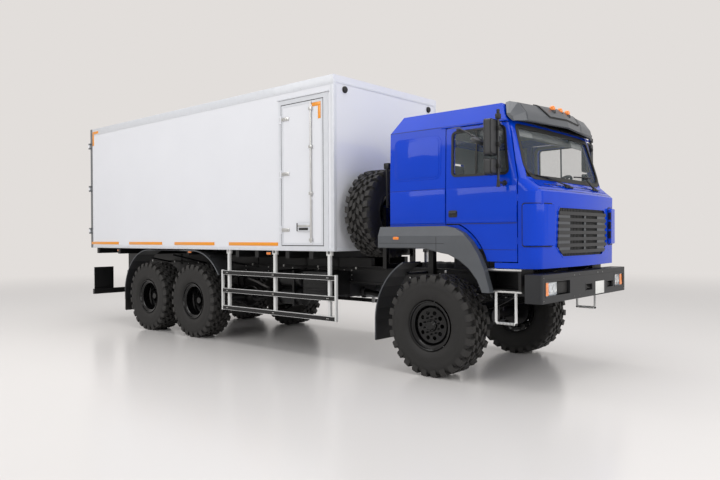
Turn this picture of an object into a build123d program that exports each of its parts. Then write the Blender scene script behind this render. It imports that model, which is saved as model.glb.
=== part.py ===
"""Six-wheel-drive insulated box truck: cab over the engine, spare wheel behind the cab, insulated body.

Millimetres. +X points forward, +Y to the vehicle's left, +Z up. The origin is on the ground, in the
middle of the truck's length and width. Pieces are made for the right side and mirrored to the left.
"""

import math
import os

from build123d import *

# Driving dimensions
FRONT_X = 5045.0            # front face of the bumper
FRONT_AXLE_X = 3585.0
WHEELBASE = 4930.0          # front axle to middle axle
BOGIE = 1410.0              # middle axle to rear axle
HALF_TRACK = 1060.0
MID_AXLE_X = FRONT_AXLE_X - WHEELBASE
REAR_AXLE_X = MID_AXLE_X - BOGIE
AXLE_XS = (FRONT_AXLE_X, MID_AXLE_X, REAR_AXLE_X)

TYRE_R = 619.65             # from the hub's axis to the flat tops of the lugs
TYRE_W = 420.0
TREAD_HALF = 190.0          # half the width over the lugs
LUGS = 24
LUG_DEPTH = 35.0
HUB_Z = TYRE_R
RIM_R = 300.0
RIM_W = 330.0
RIM_BORE_R = 60.0
SPINDLE_R = 34.0
RUNNING = 0.1               # radial clearance of a shaft in its bore
END_PLAY = 0.4              # clearance between a hinge's barrels, along its pin
HUB_BORE_R = SPINDLE_R + RUNNING

RAIL_HALF = 440.0           # outer faces of the frame rails
RAIL_W = 80.0
RAIL_H = 270.0
RAIL_TOP = 1270.0
RAIL_T = 10.0
RAIL_FRONT = 4800.0
RAIL_REAR = -4900.0

BOX_REAR = -4990.0
BOX_FRONT = 1985.0
BOX_HALF = 1225.0
BOX_BOTTOM = 1502.0
BOX_TOP = 3944.0
WALL = 80.0
FLOOR_T = 120.0
ROOF_T = 90.0

SIDE_DOOR_REAR = 927.0
SIDE_DOOR_FRONT = 1782.0
SIDE_DOOR_LOW = 1585.0      # lower edge of the leaf
SIDE_DOOR_HIGH = 3637.0
DOOR_GAP = 12.0

CAB_REAR = 2915.0
CAB_HALF = 1150.0
CAB_LOW = 1340.0
CAB_SEAM = 3020.0           # joint between the cab and its raised roof
CAB_TOP = 3235.0
CAB_T = 50.0
CAB_FLOOR_Z = 1560.0
NOSE_SEAM = 2225.0          # top of the front panel
DOOR_REAR = 3775.0
DOOR_FRONT = 4712.0
DOOR_LOW = 1415.0
DOOR_SILL = 1850.0          # lower edge of the door behind the wheel arch's curve
DOOR_HIGH = 2990.0
DOOR_T = 60.0
GLASS_IN = 14.0             # how far the glass sits inside the skin
GLASS_T = 8.0
TILT_X = 4925.0             # axis that the cab tilts about
TILT_Z = 1352.0

BUMPER_REAR = 4850.0
BUMPER_LOW = 970.0
BUMPER_HIGH = 1283.0
BUMPER_HALF = 1245.0

KINGPIN_Y = 860.0
SPARE_Y = -555.0
SPARE_Z = 2030.0
SPARE_X = 2330.0            # middle of the spare tyre
TOW_BORE_R = 25.0
STRAP_GAP = 6.0             # how far the body's doors and their straps stand proud of the skin
RIM_SEAT_R = 262.0
PANEL_T = 25.0              # front panel of the cab

os.makedirs("parts", exist_ok=True)
NODES = {}


def block(x0, x1, y0, y1, z0, z1):
    """A box between two corners."""
    size = (abs(x1 - x0), abs(y1 - y0), abs(z1 - z0))
    return Pos((x0 + x1) / 2, (y0 + y1) / 2, (z0 + z1) / 2) * Box(*size)


def left(shape):
    """The mirror image of a right-hand piece."""
    return mirror(shape, Plane.XZ)


def both(shape):
    """A right-hand piece and its mirror image, as one list of solids."""
    return group(shape, left(shape))


def group(*shapes):
    """Solids of one node that stay apart."""
    solids = []
    for shape in shapes:
        solids.extend(shape.solids())
    return Compound(children=solids)


def joined(*shapes):
    """All the shapes fused."""
    solids = [solid for shape in shapes for solid in shape.solids()]
    fused = solids[0].fuse(*solids[1:])
    return group(fused)


def bar(start, end, radius):
    """A round bar between two points."""
    a, b = Vector(*start), Vector(*end)
    plane = Plane(origin=a, z_dir=b - a)
    return plane * Cylinder(radius, (b - a).length, align=(Align.CENTER, Align.CENTER, Align.MIN))


def prism_y(points, y0, y1):
    """A side-view outline of (x, z) points, extruded across the truck from y0 to y1."""
    face = Plane.XZ * make_face(Polyline(*points, close=True))
    return Pos(0, max(y0, y1), 0) * extrude(face, amount=abs(y1 - y0))


def prism_x(points, x0, x1):
    """A front-view outline of (y, z) points, extruded along the truck from x0 to x1."""
    face = Plane.YZ * make_face(Polyline(*points, close=True))
    return Pos(x0, 0, 0) * extrude(face, amount=x1 - x0)


def window_prism(corners, shrink, radius, y0, y1):
    """A side window's rounded outline, shrunk by a clearance and extruded across the truck."""
    mid_x = sum(x for x, z in corners) / len(corners)
    mid_z = sum(z for x, z in corners) / len(corners)
    points = [(x - math.copysign(shrink, x - mid_x), z - math.copysign(shrink, z - mid_z)) for x, z in corners]
    prism = prism_y(points, y0, y1)
    return fillet(prism.edges().filter_by(Axis.Y), radius)


def turned_y(profile, x, y, z):
    """A closed (radius, offset) outline turned about an axis along Y through a point; +offset is outboard."""
    face = make_face(Polyline(*[(r, -a) for r, a in profile], close=True))
    return Pos(x, y, z) * revolve(face, Axis.Y, 360)


def save(name, shape):
    """Keeps a node to be written at the end."""
    NODES[name] = shape
    return shape


# Wheels
def flats(radius):
    """A polygon in the side view with one flat per lug, its flats at a radius and its lowest flat level."""
    turn = Rot(0, 180 / LUGS, 0)
    return turn * (Plane.XZ * RegularPolygon(radius, LUGS, major_radius=False))


def flat_ring(radius, half_width):
    """A prism about Y with one flat per lug."""
    return Pos(0, half_width, 0) * extrude(flats(radius), amount=2 * half_width)


def tread():
    """The lugs and the belt that they stand on, as one toothed prism about Y."""
    pitch = 2 * math.pi / LUGS
    tip_half = 0.28 * TYRE_R * pitch
    root_half = tip_half + 8.0
    root_r = TYRE_R - LUG_DEPTH
    points = []
    for i in range(LUGS):
        angle = i * pitch - math.pi / 2
        for r, across in ((root_r, -root_half), (TYRE_R, -tip_half), (TYRE_R, tip_half), (root_r, root_half)):
            x = r * math.cos(angle) - across * math.sin(angle)
            z = r * math.sin(angle) + across * math.cos(angle)
            points.append((x, z))
    return prism_y(points, -TREAD_HALF, TREAD_HALF)


def sidewall():
    """The right sidewall, bulging from the tread's edge to the rim's flange."""
    edge = Pos(0, -TREAD_HALF, 0) * flats(TYRE_R - 60.0)
    bead = Pos(0, -TYRE_W / 2, 0) * flats(RIM_R + 4.0)
    return loft([edge.face(), bead.face()], ruled=True)


def tyre():
    """The tyre about the origin, its axis along Y."""
    wall = sidewall()
    flange_y = RIM_W / 2 - 2.0
    flange_room = flat_ring(RIM_R + 4.0, TYRE_W) - flat_ring(RIM_R + 40.0, flange_y)
    return tread() + wall + left(wall) - flat_ring(RIM_SEAT_R, TYRE_W) - flange_room


DISC_R = 205.0              # flat middle of the wheel disc
DISC_T = 16.0
DOME = 25.0                 # how far the disc's middle stands off its foot
FLANGE_T = 12.0
BARREL_R = RIM_R - 55.0
HUB_R = RIM_BORE_R + 60.0
CAP_L = 60.0                # hub cap outboard of the disc


def disc_y(dome):
    """How far outboard a disc's foot stands: well out on a front wheel, inside the middle on a rear one."""
    return 95.0 if dome > 0 else -20.0


def rim(dome):
    """A disc wheel about the origin, outboard towards -Y. dome is +1 with the disc bulging out, -1 dished in."""
    flange = RIM_W / 2
    foot = disc_y(dome)
    middle = foot + dome * DOME
    outline = [
        (RIM_BORE_R, middle),
        (RIM_BORE_R, middle + DISC_T),
        (DISC_R, middle + DISC_T),
        (BARREL_R, foot + DISC_T - dome * 20),
        (BARREL_R, flange - FLANGE_T),
        (RIM_R, flange + FLANGE_T),
        (RIM_R, flange),
        (RIM_SEAT_R - 1, flange - 4),
        (RIM_SEAT_R - 1, -flange + 4),
        (RIM_R, -flange),
        (RIM_R, -flange - FLANGE_T),
        (BARREL_R, -flange + FLANGE_T),
        (BARREL_R, foot - dome * 20),
        (DISC_R, middle),
    ]
    return turned_y(outline, 0, 0, 0)


def hub(dome):
    """The hub that turns with the wheel, seated in the disc's bore, with its cap outboard."""
    seat = disc_y(dome) + dome * DOME
    outline = [
        (HUB_BORE_R, seat - 60),
        (HUB_R, seat - 60),
        (HUB_R, seat),
        (RIM_BORE_R, seat),
        (RIM_BORE_R, seat + CAP_L - 20),
        (RIM_BORE_R - 15, seat + CAP_L),
        (0, seat + CAP_L),
        (0, seat + CAP_L - 15),
        (HUB_BORE_R, seat + CAP_L - 15),
    ]
    return turned_y(outline, 0, 0, 0)


SIDES = (("right", -1), ("left", 1))
AXLE_NAMES = ("front", "middle", "rear")
TYRE = tyre()
for axle_name, axle_x in zip(AXLE_NAMES, AXLE_XS):
    dome = 1 if axle_name == "front" else -1
    wheel = rim(dome) + hub(dome)
    for side_name, side in SIDES:
        place = Pos(axle_x, side * HALF_TRACK, HUB_Z)
        turned = wheel if side < 0 else left(wheel)
        save(f"tyre_{axle_name}_{side_name}", place * TYRE)
        save(f"rim_{axle_name}_{side_name}", place * turned)

# Axles, knuckles and springs
PINION_Z = HUB_Z + 20.0
NOSE_HALF = 200.0           # from an axle's middle to the end of its pinion housing
AXLE_TUBE_R = 75.0
DRUM_R = 200.0
EAR_LOW = 95.0              # a kingpin ear's faces, above and below the hub's axis
EAR_HIGH = 130.0


def differential(x):
    """The round housing in the middle of a driven axle, with its pinion nose."""
    ball = Pos(x, 0, HUB_Z) * Sphere(185)
    nose = Pos(x, 0, PINION_Z) * Cylinder(95, 2 * NOSE_HALF, rotation=(0, 90, 0))
    return ball + nose


def front_axle():
    """The driven front axle, forked at each end around a kingpin."""
    tube_end = KINGPIN_Y - 75
    tube = Pos(FRONT_AXLE_X, 0, HUB_Z) * Cylinder(AXLE_TUBE_R, 2 * tube_end, rotation=(90, 0, 0))
    body = tube + differential(FRONT_AXLE_X)
    for side in (-1, 1):
        y_in = side * (tube_end - 35)
        y_out = side * (KINGPIN_Y + 40)
        plate = block(FRONT_AXLE_X - 70, FRONT_AXLE_X + 70, y_in, side * tube_end, HUB_Z - EAR_HIGH, HUB_Z + EAR_HIGH)
        ear_top = block(FRONT_AXLE_X - 45, FRONT_AXLE_X + 45, y_in, y_out, HUB_Z + EAR_LOW, HUB_Z + EAR_HIGH)
        ear_low = block(FRONT_AXLE_X - 45, FRONT_AXLE_X + 45, y_in, y_out, HUB_Z - EAR_HIGH, HUB_Z - EAR_LOW)
        body = body + plate + ear_top + ear_low
    return body


def knuckle():
    """The right steering knuckle: kingpin barrel, spindle and steering arm."""
    barrel = Pos(FRONT_AXLE_X, -KINGPIN_Y, HUB_Z) * Cylinder(42, 2 * (EAR_LOW - END_PLAY))
    spindle = Pos(FRONT_AXLE_X, -KINGPIN_Y - 175, HUB_Z) * Cylinder(SPINDLE_R, 350, rotation=(90, 0, 0))
    drum = Pos(FRONT_AXLE_X, -KINGPIN_Y - 130, HUB_Z) * Cylinder(DRUM_R, 110, rotation=(90, 0, 0))
    arm = block(FRONT_AXLE_X - 230, FRONT_AXLE_X, -KINGPIN_Y - 10, -KINGPIN_Y + 18, HUB_Z - 80, HUB_Z - 45)
    return barrel + spindle + drum + arm


def rear_axle(x):
    """A driven rear axle with its spindles and brake drums."""
    tube = Pos(x, 0, HUB_Z) * Cylinder(AXLE_TUBE_R, 2 * (HALF_TRACK - 170), rotation=(90, 0, 0))
    spindle = Pos(x, 0, HUB_Z) * Cylinder(SPINDLE_R, 2 * (HALF_TRACK - 10), rotation=(90, 0, 0))
    body = tube + spindle + differential(x)
    for side in (-1, 1):
        body = body + Pos(x, side * (HALF_TRACK - 145), HUB_Z) * Cylinder(DRUM_R, 60, rotation=(90, 0, 0))
    return body


save("front_axle", front_axle())
save("knuckle_right", knuckle())
save("knuckle_left", left(knuckle()))
save("rear_axles", group(rear_axle(MID_AXLE_X), rear_axle(REAR_AXLE_X)))

SPRING_Y = RAIL_HALF - RAIL_W / 2
SPRING_W = 90.0


def spring(x, half, z_mid, z_end, thick):
    """A leaf pack that bows from its ends to its middle, with the middle seated on or under an axle."""
    points = [
        (x - half, z_end),
        (x, z_mid),
        (x + half, z_end),
        (x + half, z_end + 22),
        (x + 60, z_mid + thick),
        (x - 60, z_mid + thick),
        (x - half, z_end + 22),
    ]
    return prism_y(points, -SPRING_Y - SPRING_W / 2, -SPRING_Y + SPRING_W / 2)


RAIL_LOW = RAIL_TOP - RAIL_H
spring_seat = HUB_Z + AXLE_TUBE_R
front_spring = spring(FRONT_AXLE_X, 700, spring_seat, RAIL_LOW - 60, 95)
bogie_x = (MID_AXLE_X + REAR_AXLE_X) / 2
rear_spring = prism_y(
    [
        (REAR_AXLE_X - 60, HUB_Z + 105), (bogie_x - 120, HUB_Z + 175), (bogie_x + 120, HUB_Z + 175),
        (MID_AXLE_X + 60, HUB_Z + 105), (MID_AXLE_X + 60, HUB_Z + 130), (bogie_x + 120, HUB_Z + 290),
        (bogie_x - 120, HUB_Z + 290), (REAR_AXLE_X - 60, HUB_Z + 130),
    ],
    -SPRING_Y - SPRING_W / 2, -SPRING_Y + SPRING_W / 2,
)
spring_out, spring_in = -SPRING_Y - SPRING_W / 2, -SPRING_Y + SPRING_W / 2
for x in (FRONT_AXLE_X - 680, FRONT_AXLE_X + 680):
    hanger = block(x - 45, x + 45, spring_out + 5, spring_in - 5, RAIL_LOW - 37, RAIL_LOW)
    front_spring = front_spring + hanger
front_spring = front_spring + block(
    FRONT_AXLE_X - 60, FRONT_AXLE_X + 60, spring_out, spring_in, HUB_Z + 60, spring_seat + 30
)
trunnion = block(bogie_x - 110, bogie_x + 110, spring_out, spring_in, HUB_Z + 285, RAIL_LOW)
rear_spring = rear_spring + trunnion
for x in (MID_AXLE_X, REAR_AXLE_X):
    rear_spring = rear_spring + block(x - 55, x + 55, spring_out, spring_in, HUB_Z + 60, HUB_Z + 112)
save("springs", both(group(front_spring - NODES["front_axle"], rear_spring - NODES["rear_axles"])))

# Frame
rail_outer = block(RAIL_REAR, RAIL_FRONT, -RAIL_HALF, -RAIL_HALF + RAIL_W, RAIL_LOW, RAIL_TOP)
rail_inner = block(RAIL_REAR - 1, RAIL_FRONT + 1, -RAIL_HALF + RAIL_T, -RAIL_HALF + RAIL_W + 1,
                   RAIL_LOW + RAIL_T, RAIL_TOP - RAIL_T)
save("frame_rails", both(rail_outer - rail_inner))

CROSS_XS = (RAIL_REAR + 40, -3500.0, bogie_x, -200.0, 1500.0, 2600.0, RAIL_FRONT - 60)
CROSS_HALF = RAIL_HALF - RAIL_T
members = [
    block(x - 40, x + 40, -CROSS_HALF, CROSS_HALF, RAIL_LOW + 110, RAIL_TOP - 40) for x in CROSS_XS
]
save("frame_crossmembers", group(*members))

# Powertrain: plain blocks at their real places
GEARBOX_REAR = 2750.0
TRANSFER_REAR, TRANSFER_FRONT = 1000.0, 1420.0
engine = block(3350, 4560, -330, 330, 960, 1760)
gearbox = block(GEARBOX_REAR, 3350, -230, 230, 900, 1330)
transfer = block(TRANSFER_REAR, TRANSFER_FRONT, -330, 330, 780, 1290)
transfer_arm = block(1180, 1270, -CROSS_HALF, CROSS_HALF, RAIL_LOW + 60, RAIL_LOW + 110)
engine_arm = block(3700, 3790, -CROSS_HALF, CROSS_HALF, RAIL_LOW + 60, RAIL_LOW + 110)
save("powertrain", group(engine + engine_arm + gearbox, transfer + transfer_arm))


def shaft(x0, x1, z0, z1):
    """A propeller shaft with a level yoke at each end."""
    low = bar((x0, 0, z0), (x0 + 80, 0, z0), 48)
    high = bar((x1 - 80, 0, z1), (x1, 0, z1), 48)
    return joined(low, bar((x0 + 40, 0, z0), (x1 - 40, 0, z1), 42), high)


save("propeller_shafts", group(
    shaft(TRANSFER_FRONT, GEARBOX_REAR, 1015, 1015),
    shaft(TRANSFER_FRONT, FRONT_AXLE_X - NOSE_HALF, 850, PINION_Z),
    shaft(MID_AXLE_X + NOSE_HALF, TRANSFER_REAR, PINION_Z, 900),
    shaft(REAR_AXLE_X + NOSE_HALF, MID_AXLE_X - NOSE_HALF, PINION_Z, PINION_Z),
))

# Tanks and boxes on the sides of the frame
tank = block(900, 1700, -RAIL_HALF - 520, -RAIL_HALF, 700, 1220)
tank = fillet(tank.edges().filter_by(Axis.X), 70)
save("fuel_tank", left(tank))

tool_box = block(1050, 1560, -RAIL_HALF - 480, -RAIL_HALF, 840, 1190)
AIR_X, AIR_Y = 600.0, -RAIL_HALF - 300.0
AIR_R, AIR_L = 125.0, 620.0
air = Pos(AIR_X, AIR_Y, 1050) * Cylinder(AIR_R, AIR_L, rotation=(0, 90, 0))
air = air + Pos(AIR_X, AIR_Y, 780) * Cylinder(AIR_R, AIR_L, rotation=(0, 90, 0))
for x in (AIR_X - 180, AIR_X + 180):
    air = air + block(x - 20, x + 20, AIR_Y - 140, -RAIL_HALF, 640, 1190)
save("equipment", group(tool_box, air))

SILENCER_X, SILENCER_Y = 2100.0, RAIL_HALF + 260.0
silencer = Pos(SILENCER_X, SILENCER_Y, 1000) * Cylinder(150, 700, rotation=(0, 90, 0))
silencer = silencer + block(SILENCER_X - 40, SILENCER_X + 40, RAIL_HALF, SILENCER_Y, 1100, 1140)
save("silencer", silencer)

# Front bumper
bumper = block(BUMPER_REAR, FRONT_X, -BUMPER_HALF, BUMPER_HALF, BUMPER_LOW, BUMPER_HIGH)
bumper = fillet(bumper.edges().filter_by(Axis.Z).group_by(Axis.X)[-1], 35)
hollow = block(BUMPER_REAR - 1, FRONT_X - 25, -BUMPER_HALF + 25, BUMPER_HALF - 25, BUMPER_LOW - 1, BUMPER_HIGH - 12)
bumper = bumper - hollow
LAMP_Z = (1045.0, 1200.0)
RIGHT_LAMP = (-1145.0, -525.0)
LEFT_LAMP = (860.0, 1145.0)
HATCH_YS = (25.0, 695.0)    # middles of the two square towing hatches
HATCH = (1043.0, 1128.0)
for y0, y1 in (RIGHT_LAMP, LEFT_LAMP):
    bumper = bumper - block(FRONT_X - 60, FRONT_X + 1, y0, y1, *LAMP_Z)
for y in HATCH_YS:
    bumper = bumper - block(FRONT_X - 60, FRONT_X + 1, y - 100, y + 100, *HATCH)
LAMP_BACK = FRONT_X - 110.0
TRAY_T = 12.0
for y0, y1 in (RIGHT_LAMP, LEFT_LAMP):
    tray = block(LAMP_BACK - 10, FRONT_X - 20, y0 - TRAY_T, y1 + TRAY_T, LAMP_Z[0] - TRAY_T, LAMP_Z[1] + TRAY_T)
    bumper = bumper + (tray - block(LAMP_BACK, FRONT_X, y0, y1, *LAMP_Z))
for side in (-1, 1):
    bumper = bumper + block(
        RAIL_FRONT, FRONT_X - 25, side * (RAIL_HALF - 4), side * (RAIL_HALF - 56), 1010, 1200
    )
save("bumper", bumper)

# Lamps of the truck's frame: headlamps in the bumper, tail lamps at the rear
UNDERRUN_X = -4975.0
FRONT_LAMPS = (   # depth behind the bumper's face, y at each end
    (30.0, -1050.0, -820.0),
    (12.0, -1134.0, -1062.0),
    (30.0, 868.0, 1050.0),
    (12.0, 1062.0, 1134.0),
)
front_lamps = [
    block(LAMP_BACK, FRONT_X - depth, y0, y1, LAMP_Z[0] + 1, LAMP_Z[1] - 1) for depth, y0, y1 in FRONT_LAMPS
]
tail_lamp = block(UNDERRUN_X - 12, UNDERRUN_X - 52, -1150, -800, 935, 1075)
save("lamps", group(*front_lamps, both(tail_lamp)))

# Front steps, hung from the frame in front of the wheels
STEP_LOW, STEP_HIGH = 1065.0, 1330.0
STEP_IN = -850.0
LADDER_Y, LADDER_Z = -1120.0, 716.0
step = block(4265, 4755, -1140, STEP_IN, STEP_LOW, STEP_HIGH)
step = step - block(4300, 4720, -1160, STEP_IN - 10, STEP_LOW + 35, STEP_HIGH - 30)
step = step + block(4480, 4560, STEP_IN, -RAIL_HALF, STEP_LOW + 15, STEP_LOW + 85)
step = step + bar((4418, LADDER_Y, LADDER_Z), (4692, LADDER_Y, LADDER_Z), 14)
for x in (4430, 4680):
    step = step + bar((x, LADDER_Y, STEP_LOW + 1), (x, LADDER_Y, LADDER_Z), 12)
save("front_steps", both(step))


# Cab: skins between rounded plan sections at a few heights
CAB_SECTIONS = (   # height, front x at the middle, half width, plan radius of the front corners
    (CAB_LOW, 4998.0, CAB_HALF, 160.0),
    (2200.0, 5005.0, CAB_HALF, 160.0),
    (2345.0, 4835.0, CAB_HALF, 140.0),
    (CAB_SEAM, 4635.0, CAB_HALF - 15, 110.0),
)
BOW = 45.0                  # how far the front's middle stands ahead of its ends


def cab_section(z, front, half, corner, inset):
    """A plan outline of the cab at one height, as a wire."""
    x0 = CAB_REAR + inset
    half = half - inset
    front = front - inset
    end = front - BOW
    corner = corner - inset * 0.5
    mid = corner * (1 - math.sqrt(0.5))
    return Wire([
        Line((x0, half, z), (x0, -half, z)),
        Line((x0, -half, z), (end - corner, -half, z)),
        ThreePointArc((end - corner, -half, z), (end - mid, -half + mid, z), (end, -half + corner, z)),
        ThreePointArc((end, -half + corner, z), (front, 0, z), (end, half - corner, z)),
        ThreePointArc((end, half - corner, z), (end - mid, half - mid, z), (end - corner, half, z)),
        Line((end - corner, half, z), (x0, half, z)),
    ])


def cab_block(inset, z_low=0.0, z_high=0.0):
    """The cab's solid outline, inset from the skin, with its lower and upper ends moved."""
    faces = []
    last = len(CAB_SECTIONS) - 1
    for i, (z, front, half, corner) in enumerate(CAB_SECTIONS):
        shift = z_low if i == 0 else (z_high if i == last else 0.0)
        faces.append(Face(cab_section(z + shift, front, half, corner, inset)))
    return loft(faces, ruled=True)


outer = cab_block(0.0)
inner = cab_block(CAB_T, z_low=CAB_T, z_high=1.0)
door_inner = cab_block(DOOR_T, z_low=DOOR_T, z_high=1.0)
ARCH_X = 4430.0             # front of the wheel arch under the cab
belly = block(CAB_REAR - 5, ARCH_X, -CAB_HALF - 5, CAB_HALF + 5, CAB_LOW - 5, CAB_FLOOR_Z)
belly_in = block(CAB_REAR - 5, ARCH_X + CAB_T, -CAB_HALF - 5, CAB_HALF + 5, CAB_LOW - 5, CAB_FLOOR_Z + CAB_T)
TUNNEL_HALF = 400.0
TUNNEL_TOP = 1860.0
TUNNEL_FRONT = 4720.0
tunnel = block(CAB_REAR - 5, TUNNEL_FRONT, -TUNNEL_HALF, TUNNEL_HALF, CAB_LOW - 5, TUNNEL_TOP)
tunnel_out = block(CAB_REAR - 5, TUNNEL_FRONT + 30, -TUNNEL_HALF - 30, TUNNEL_HALF + 30, CAB_LOW - 5, TUNNEL_TOP + 30)
room = inner - belly_in - tunnel_out
shell = outer - room - belly - tunnel


def door_outline(grow):
    """The door's side-view outline, grown outwards by a gap."""
    g = grow
    with BuildSketch(Plane.XZ) as sketch:
        with BuildLine():
            Polyline((DOOR_REAR - g, DOOR_SILL - g), (DOOR_REAR - g, DOOR_HIGH + g),
                     (DOOR_FRONT - 130 + g, DOOR_HIGH + g), (DOOR_FRONT + g, 2330),
                     (DOOR_FRONT + g, DOOR_LOW - g), (4335 - g, DOOR_LOW - g))
            ThreePointArc((4335 - g, DOOR_LOW - g), (4195 - g, 1675 - g), (3960 - g, DOOR_SILL - g))
            Line((3960 - g, DOOR_SILL - g), (DOOR_REAR - g, DOOR_SILL - g))
        make_face()
    return sketch.sketch


def door_prism(grow, y0=-CAB_HALF - 20, y1=-CAB_HALF + DOOR_T + 12):
    return Pos(0, y1, 0) * extrude(door_outline(grow), amount=y1 - y0)


door_hole = door_prism(DOOR_GAP)
nose_zone = block(DOOR_FRONT + DOOR_GAP, 5100, -1300, 1300, CAB_LOW - 20, NOSE_SEAM)
nose_room = cab_block(PANEL_T, z_low=-1.0, z_high=1.0)
nose_skin = (outer - nose_room) & nose_zone
WINDOW = ((3863.0, 2424.0), (4603.0, 2410.0), (4548.0, 2945.0), (3863.0, 2936.0))
WINDOW_R = 45.0
SCREEN_LOW, SCREEN_HIGH = 2365.0, 2965.0
SCREEN_HALF_LOW, SCREEN_HALF_HIGH = 1050.0, 985.0


def screen_hole(shrink):
    """The windscreen's opening, looking along the truck."""
    points = [
        (-SCREEN_HALF_LOW + shrink, SCREEN_LOW + shrink), (SCREEN_HALF_LOW - shrink, SCREEN_LOW + shrink),
        (SCREEN_HALF_HIGH - shrink, SCREEN_HIGH - shrink), (-SCREEN_HALF_HIGH + shrink, SCREEN_HIGH - shrink),
    ]
    return prism_x(points, 4380, 5100)


GRILLE_OUTLINE = [
    (-722, 1575), (-575, 1462), (575, 1462), (722, 1575), (690, 1990), (655, 2030), (-655, 2030), (-690, 1990),
]
SLATS = 7
SLAT_LOW = 1500.0
SLAT_PITCH = 74.0
SLAT_H = 40.0
grille_hole = prism_x(GRILLE_OUTLINE, 4760, 5100)
rear_window = prism_x([(-520, 2380), (520, 2380), (520, 2760), (-520, 2760)], CAB_REAR - 5, CAB_REAR + CAB_T + 20)
nose = nose_skin - grille_hole
cover_front = cab_block(-22.0) - cab_block(1.0)
side_cover = cover_front & block(4800, 5060, -1200, -830, 1600, 2050)
nose = nose + side_cover + left(side_cover)
save("front_panel", nose)
cab = shell - nose_skin - door_hole - left(door_hole) - screen_hole(0) - rear_window
pocket = block(4880, 4946, -500, -430, CAB_LOW - 5, 1385)
cab = cab - pocket - left(pocket)
save("cab_shell", cab)
pivot = prism_y([
    (4700, RAIL_TOP), (RAIL_FRONT, RAIL_TOP), (TILT_X - 5, TILT_Z - 25), (TILT_X + 12, TILT_Z - 10),
    (TILT_X + 12, TILT_Z + 8), (TILT_X, TILT_Z + 16), (TILT_X - 14, TILT_Z + 10), (4890, 1336), (4700, 1310),
], -484, -446)
pivot = pivot + block(4700, RAIL_FRONT, -484, -RAIL_HALF, 1100, RAIL_TOP + 20)
pivot = pivot + Pos(TILT_X, -465, TILT_Z) * Cylinder(14, 70 - 2 * END_PLAY, rotation=(90, 0, 0))
rest = block(3060, 3140, -520, -RAIL_HALF, 1100, CAB_FLOOR_Z - END_PLAY)
save("cab_mounts", both(group(pivot, rest)))

skin = outer - door_inner
door = skin & door_prism(0.0)
DOOR_PIN = (DOOR_FRONT + 2.0, CAB_HALF - 4.0)
window = window_prism(WINDOW, 0.0, WINDOW_R, -CAB_HALF - 30, -CAB_HALF + 120)
door = door - window
for z in (1650.0, 2130.0):
    door = door + Pos(DOOR_PIN[0], -DOOR_PIN[1], z) * Cylinder(9.6, 80)
save("door_right", door)
save("door_left", left(door))

glass_skin = cab_block(GLASS_IN) - cab_block(GLASS_IN + GLASS_T, z_low=1.0, z_high=1.0)
save("windscreen", glass_skin & screen_hole(0.5))
side_glass = glass_skin & window_prism(WINDOW, 0.5, WINDOW_R, -CAB_HALF - 30, -CAB_HALF + 120)
save("door_glass_right", side_glass)
save("door_glass_left", left(side_glass))


# Raised roof
def roof_block(inset, low, high):
    """A tapered cap over the cab's seam."""
    base = Pos((CAB_REAR + 4575) / 2, 0, low) * Rectangle(4575 - CAB_REAR - 2 * inset, 2 * (CAB_HALF - 16 - inset))
    top = Pos((3040 + 4450) / 2, 0, high) * Rectangle(4450 - 3040 - 2 * inset, 2 * (1010 - inset))
    return loft([base.face(), top.face()], ruled=True)


roof = roof_block(0, CAB_SEAM, CAB_TOP) - roof_block(40, CAB_SEAM - 1, CAB_TOP - 40)
save("cab_roof", roof)

# Sun visor over the windscreen, with its marker lamps: side-view sections at a few widths, bowed and drooping
VISOR_SECTIONS = (   # y, then (x, z) from the roof over the ridge to the lip and back underneath
    (0.0, [(4390, 3235), (4400, 3252), (4550, 3288), (4680, 3262), (4780, 3130), (4812, 3030), (4786, 3022),
           (4725, 3115), (4620, 3195), (4450, 3235)]),
    (930.0, [(4455, 3238), (4458, 3252), (4500, 3262), (4610, 3232), (4700, 3110), (4722, 3012), (4698, 3004),
             (4650, 3080), (4560, 3165), (4470, 3236)]),
    (1100.0, [(4560, 3085), (4562, 3092), (4575, 3095), (4600, 3085), (4640, 3045), (4650, 3000), (4636, 2997),
              (4610, 3020), (4585, 3045), (4565, 3070)]),
)
visor_faces = []
for y, outline in VISOR_SECTIONS:
    visor_faces.append((Pos(0, -y, 0) * (Plane.XZ * make_face(Polyline(*outline, close=True)))).face())
visor_half = loft(visor_faces, ruled=True)
visor = visor_half + left(visor_half)
for y in (-210, 0, 210):
    visor = visor + Pos(4690, y, 3250) * Sphere(34)
save("sun_visor", visor)


# Grille with its bars, bowed like the panel around it
def grille_outline(share, x0, x1):
    """The grille's outline, a little smaller than its opening."""
    mid_z = (GRILLE_OUTLINE[1][1] + GRILLE_OUTLINE[5][1]) / 2
    return prism_x([(y * share, mid_z + (z - mid_z) * share) for y, z in GRILLE_OUTLINE], x0, x1)


GRILLE_OUT = 17.0           # how far the bars stand ahead of the panel
back_face = cab_block(14.0)
back = (back_face - nose_room) & grille_outline(1.0, 4850, 5100)
bars = (cab_block(-GRILLE_OUT) - back_face) & grille_outline(1.0, 4850, 5100)
grille = back
for i in range(SLATS):
    z = SLAT_LOW + i * SLAT_PITCH
    grille = grille + (bars & block(4850, 5100, -740, 740, z, z + SLAT_H))
save("grille", grille)

# Wheel-arch flares on the cab and mudguards on the frame
flare_outer = prism_y([
    (2780, 1560), (2780, 1828), (3790, 1828), (3935, 1800), (4060, 1740), (4165, 1640), (4260, 1500),
    (4340, 1330), (4420, 1060), (4315, 1060), (4250, 1200), (4140, 1330), (4010, 1425), (3860, 1490), (3760, 1505),
    (3500, 1560),
], -1240, -CAB_HALF)
bevel = prism_x([(-1245, 1700), (-1190, 1835), (-1245, 1835)], 2700, 4500)
save("wheel_arch_flares", both(flare_outer - bevel))

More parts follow.
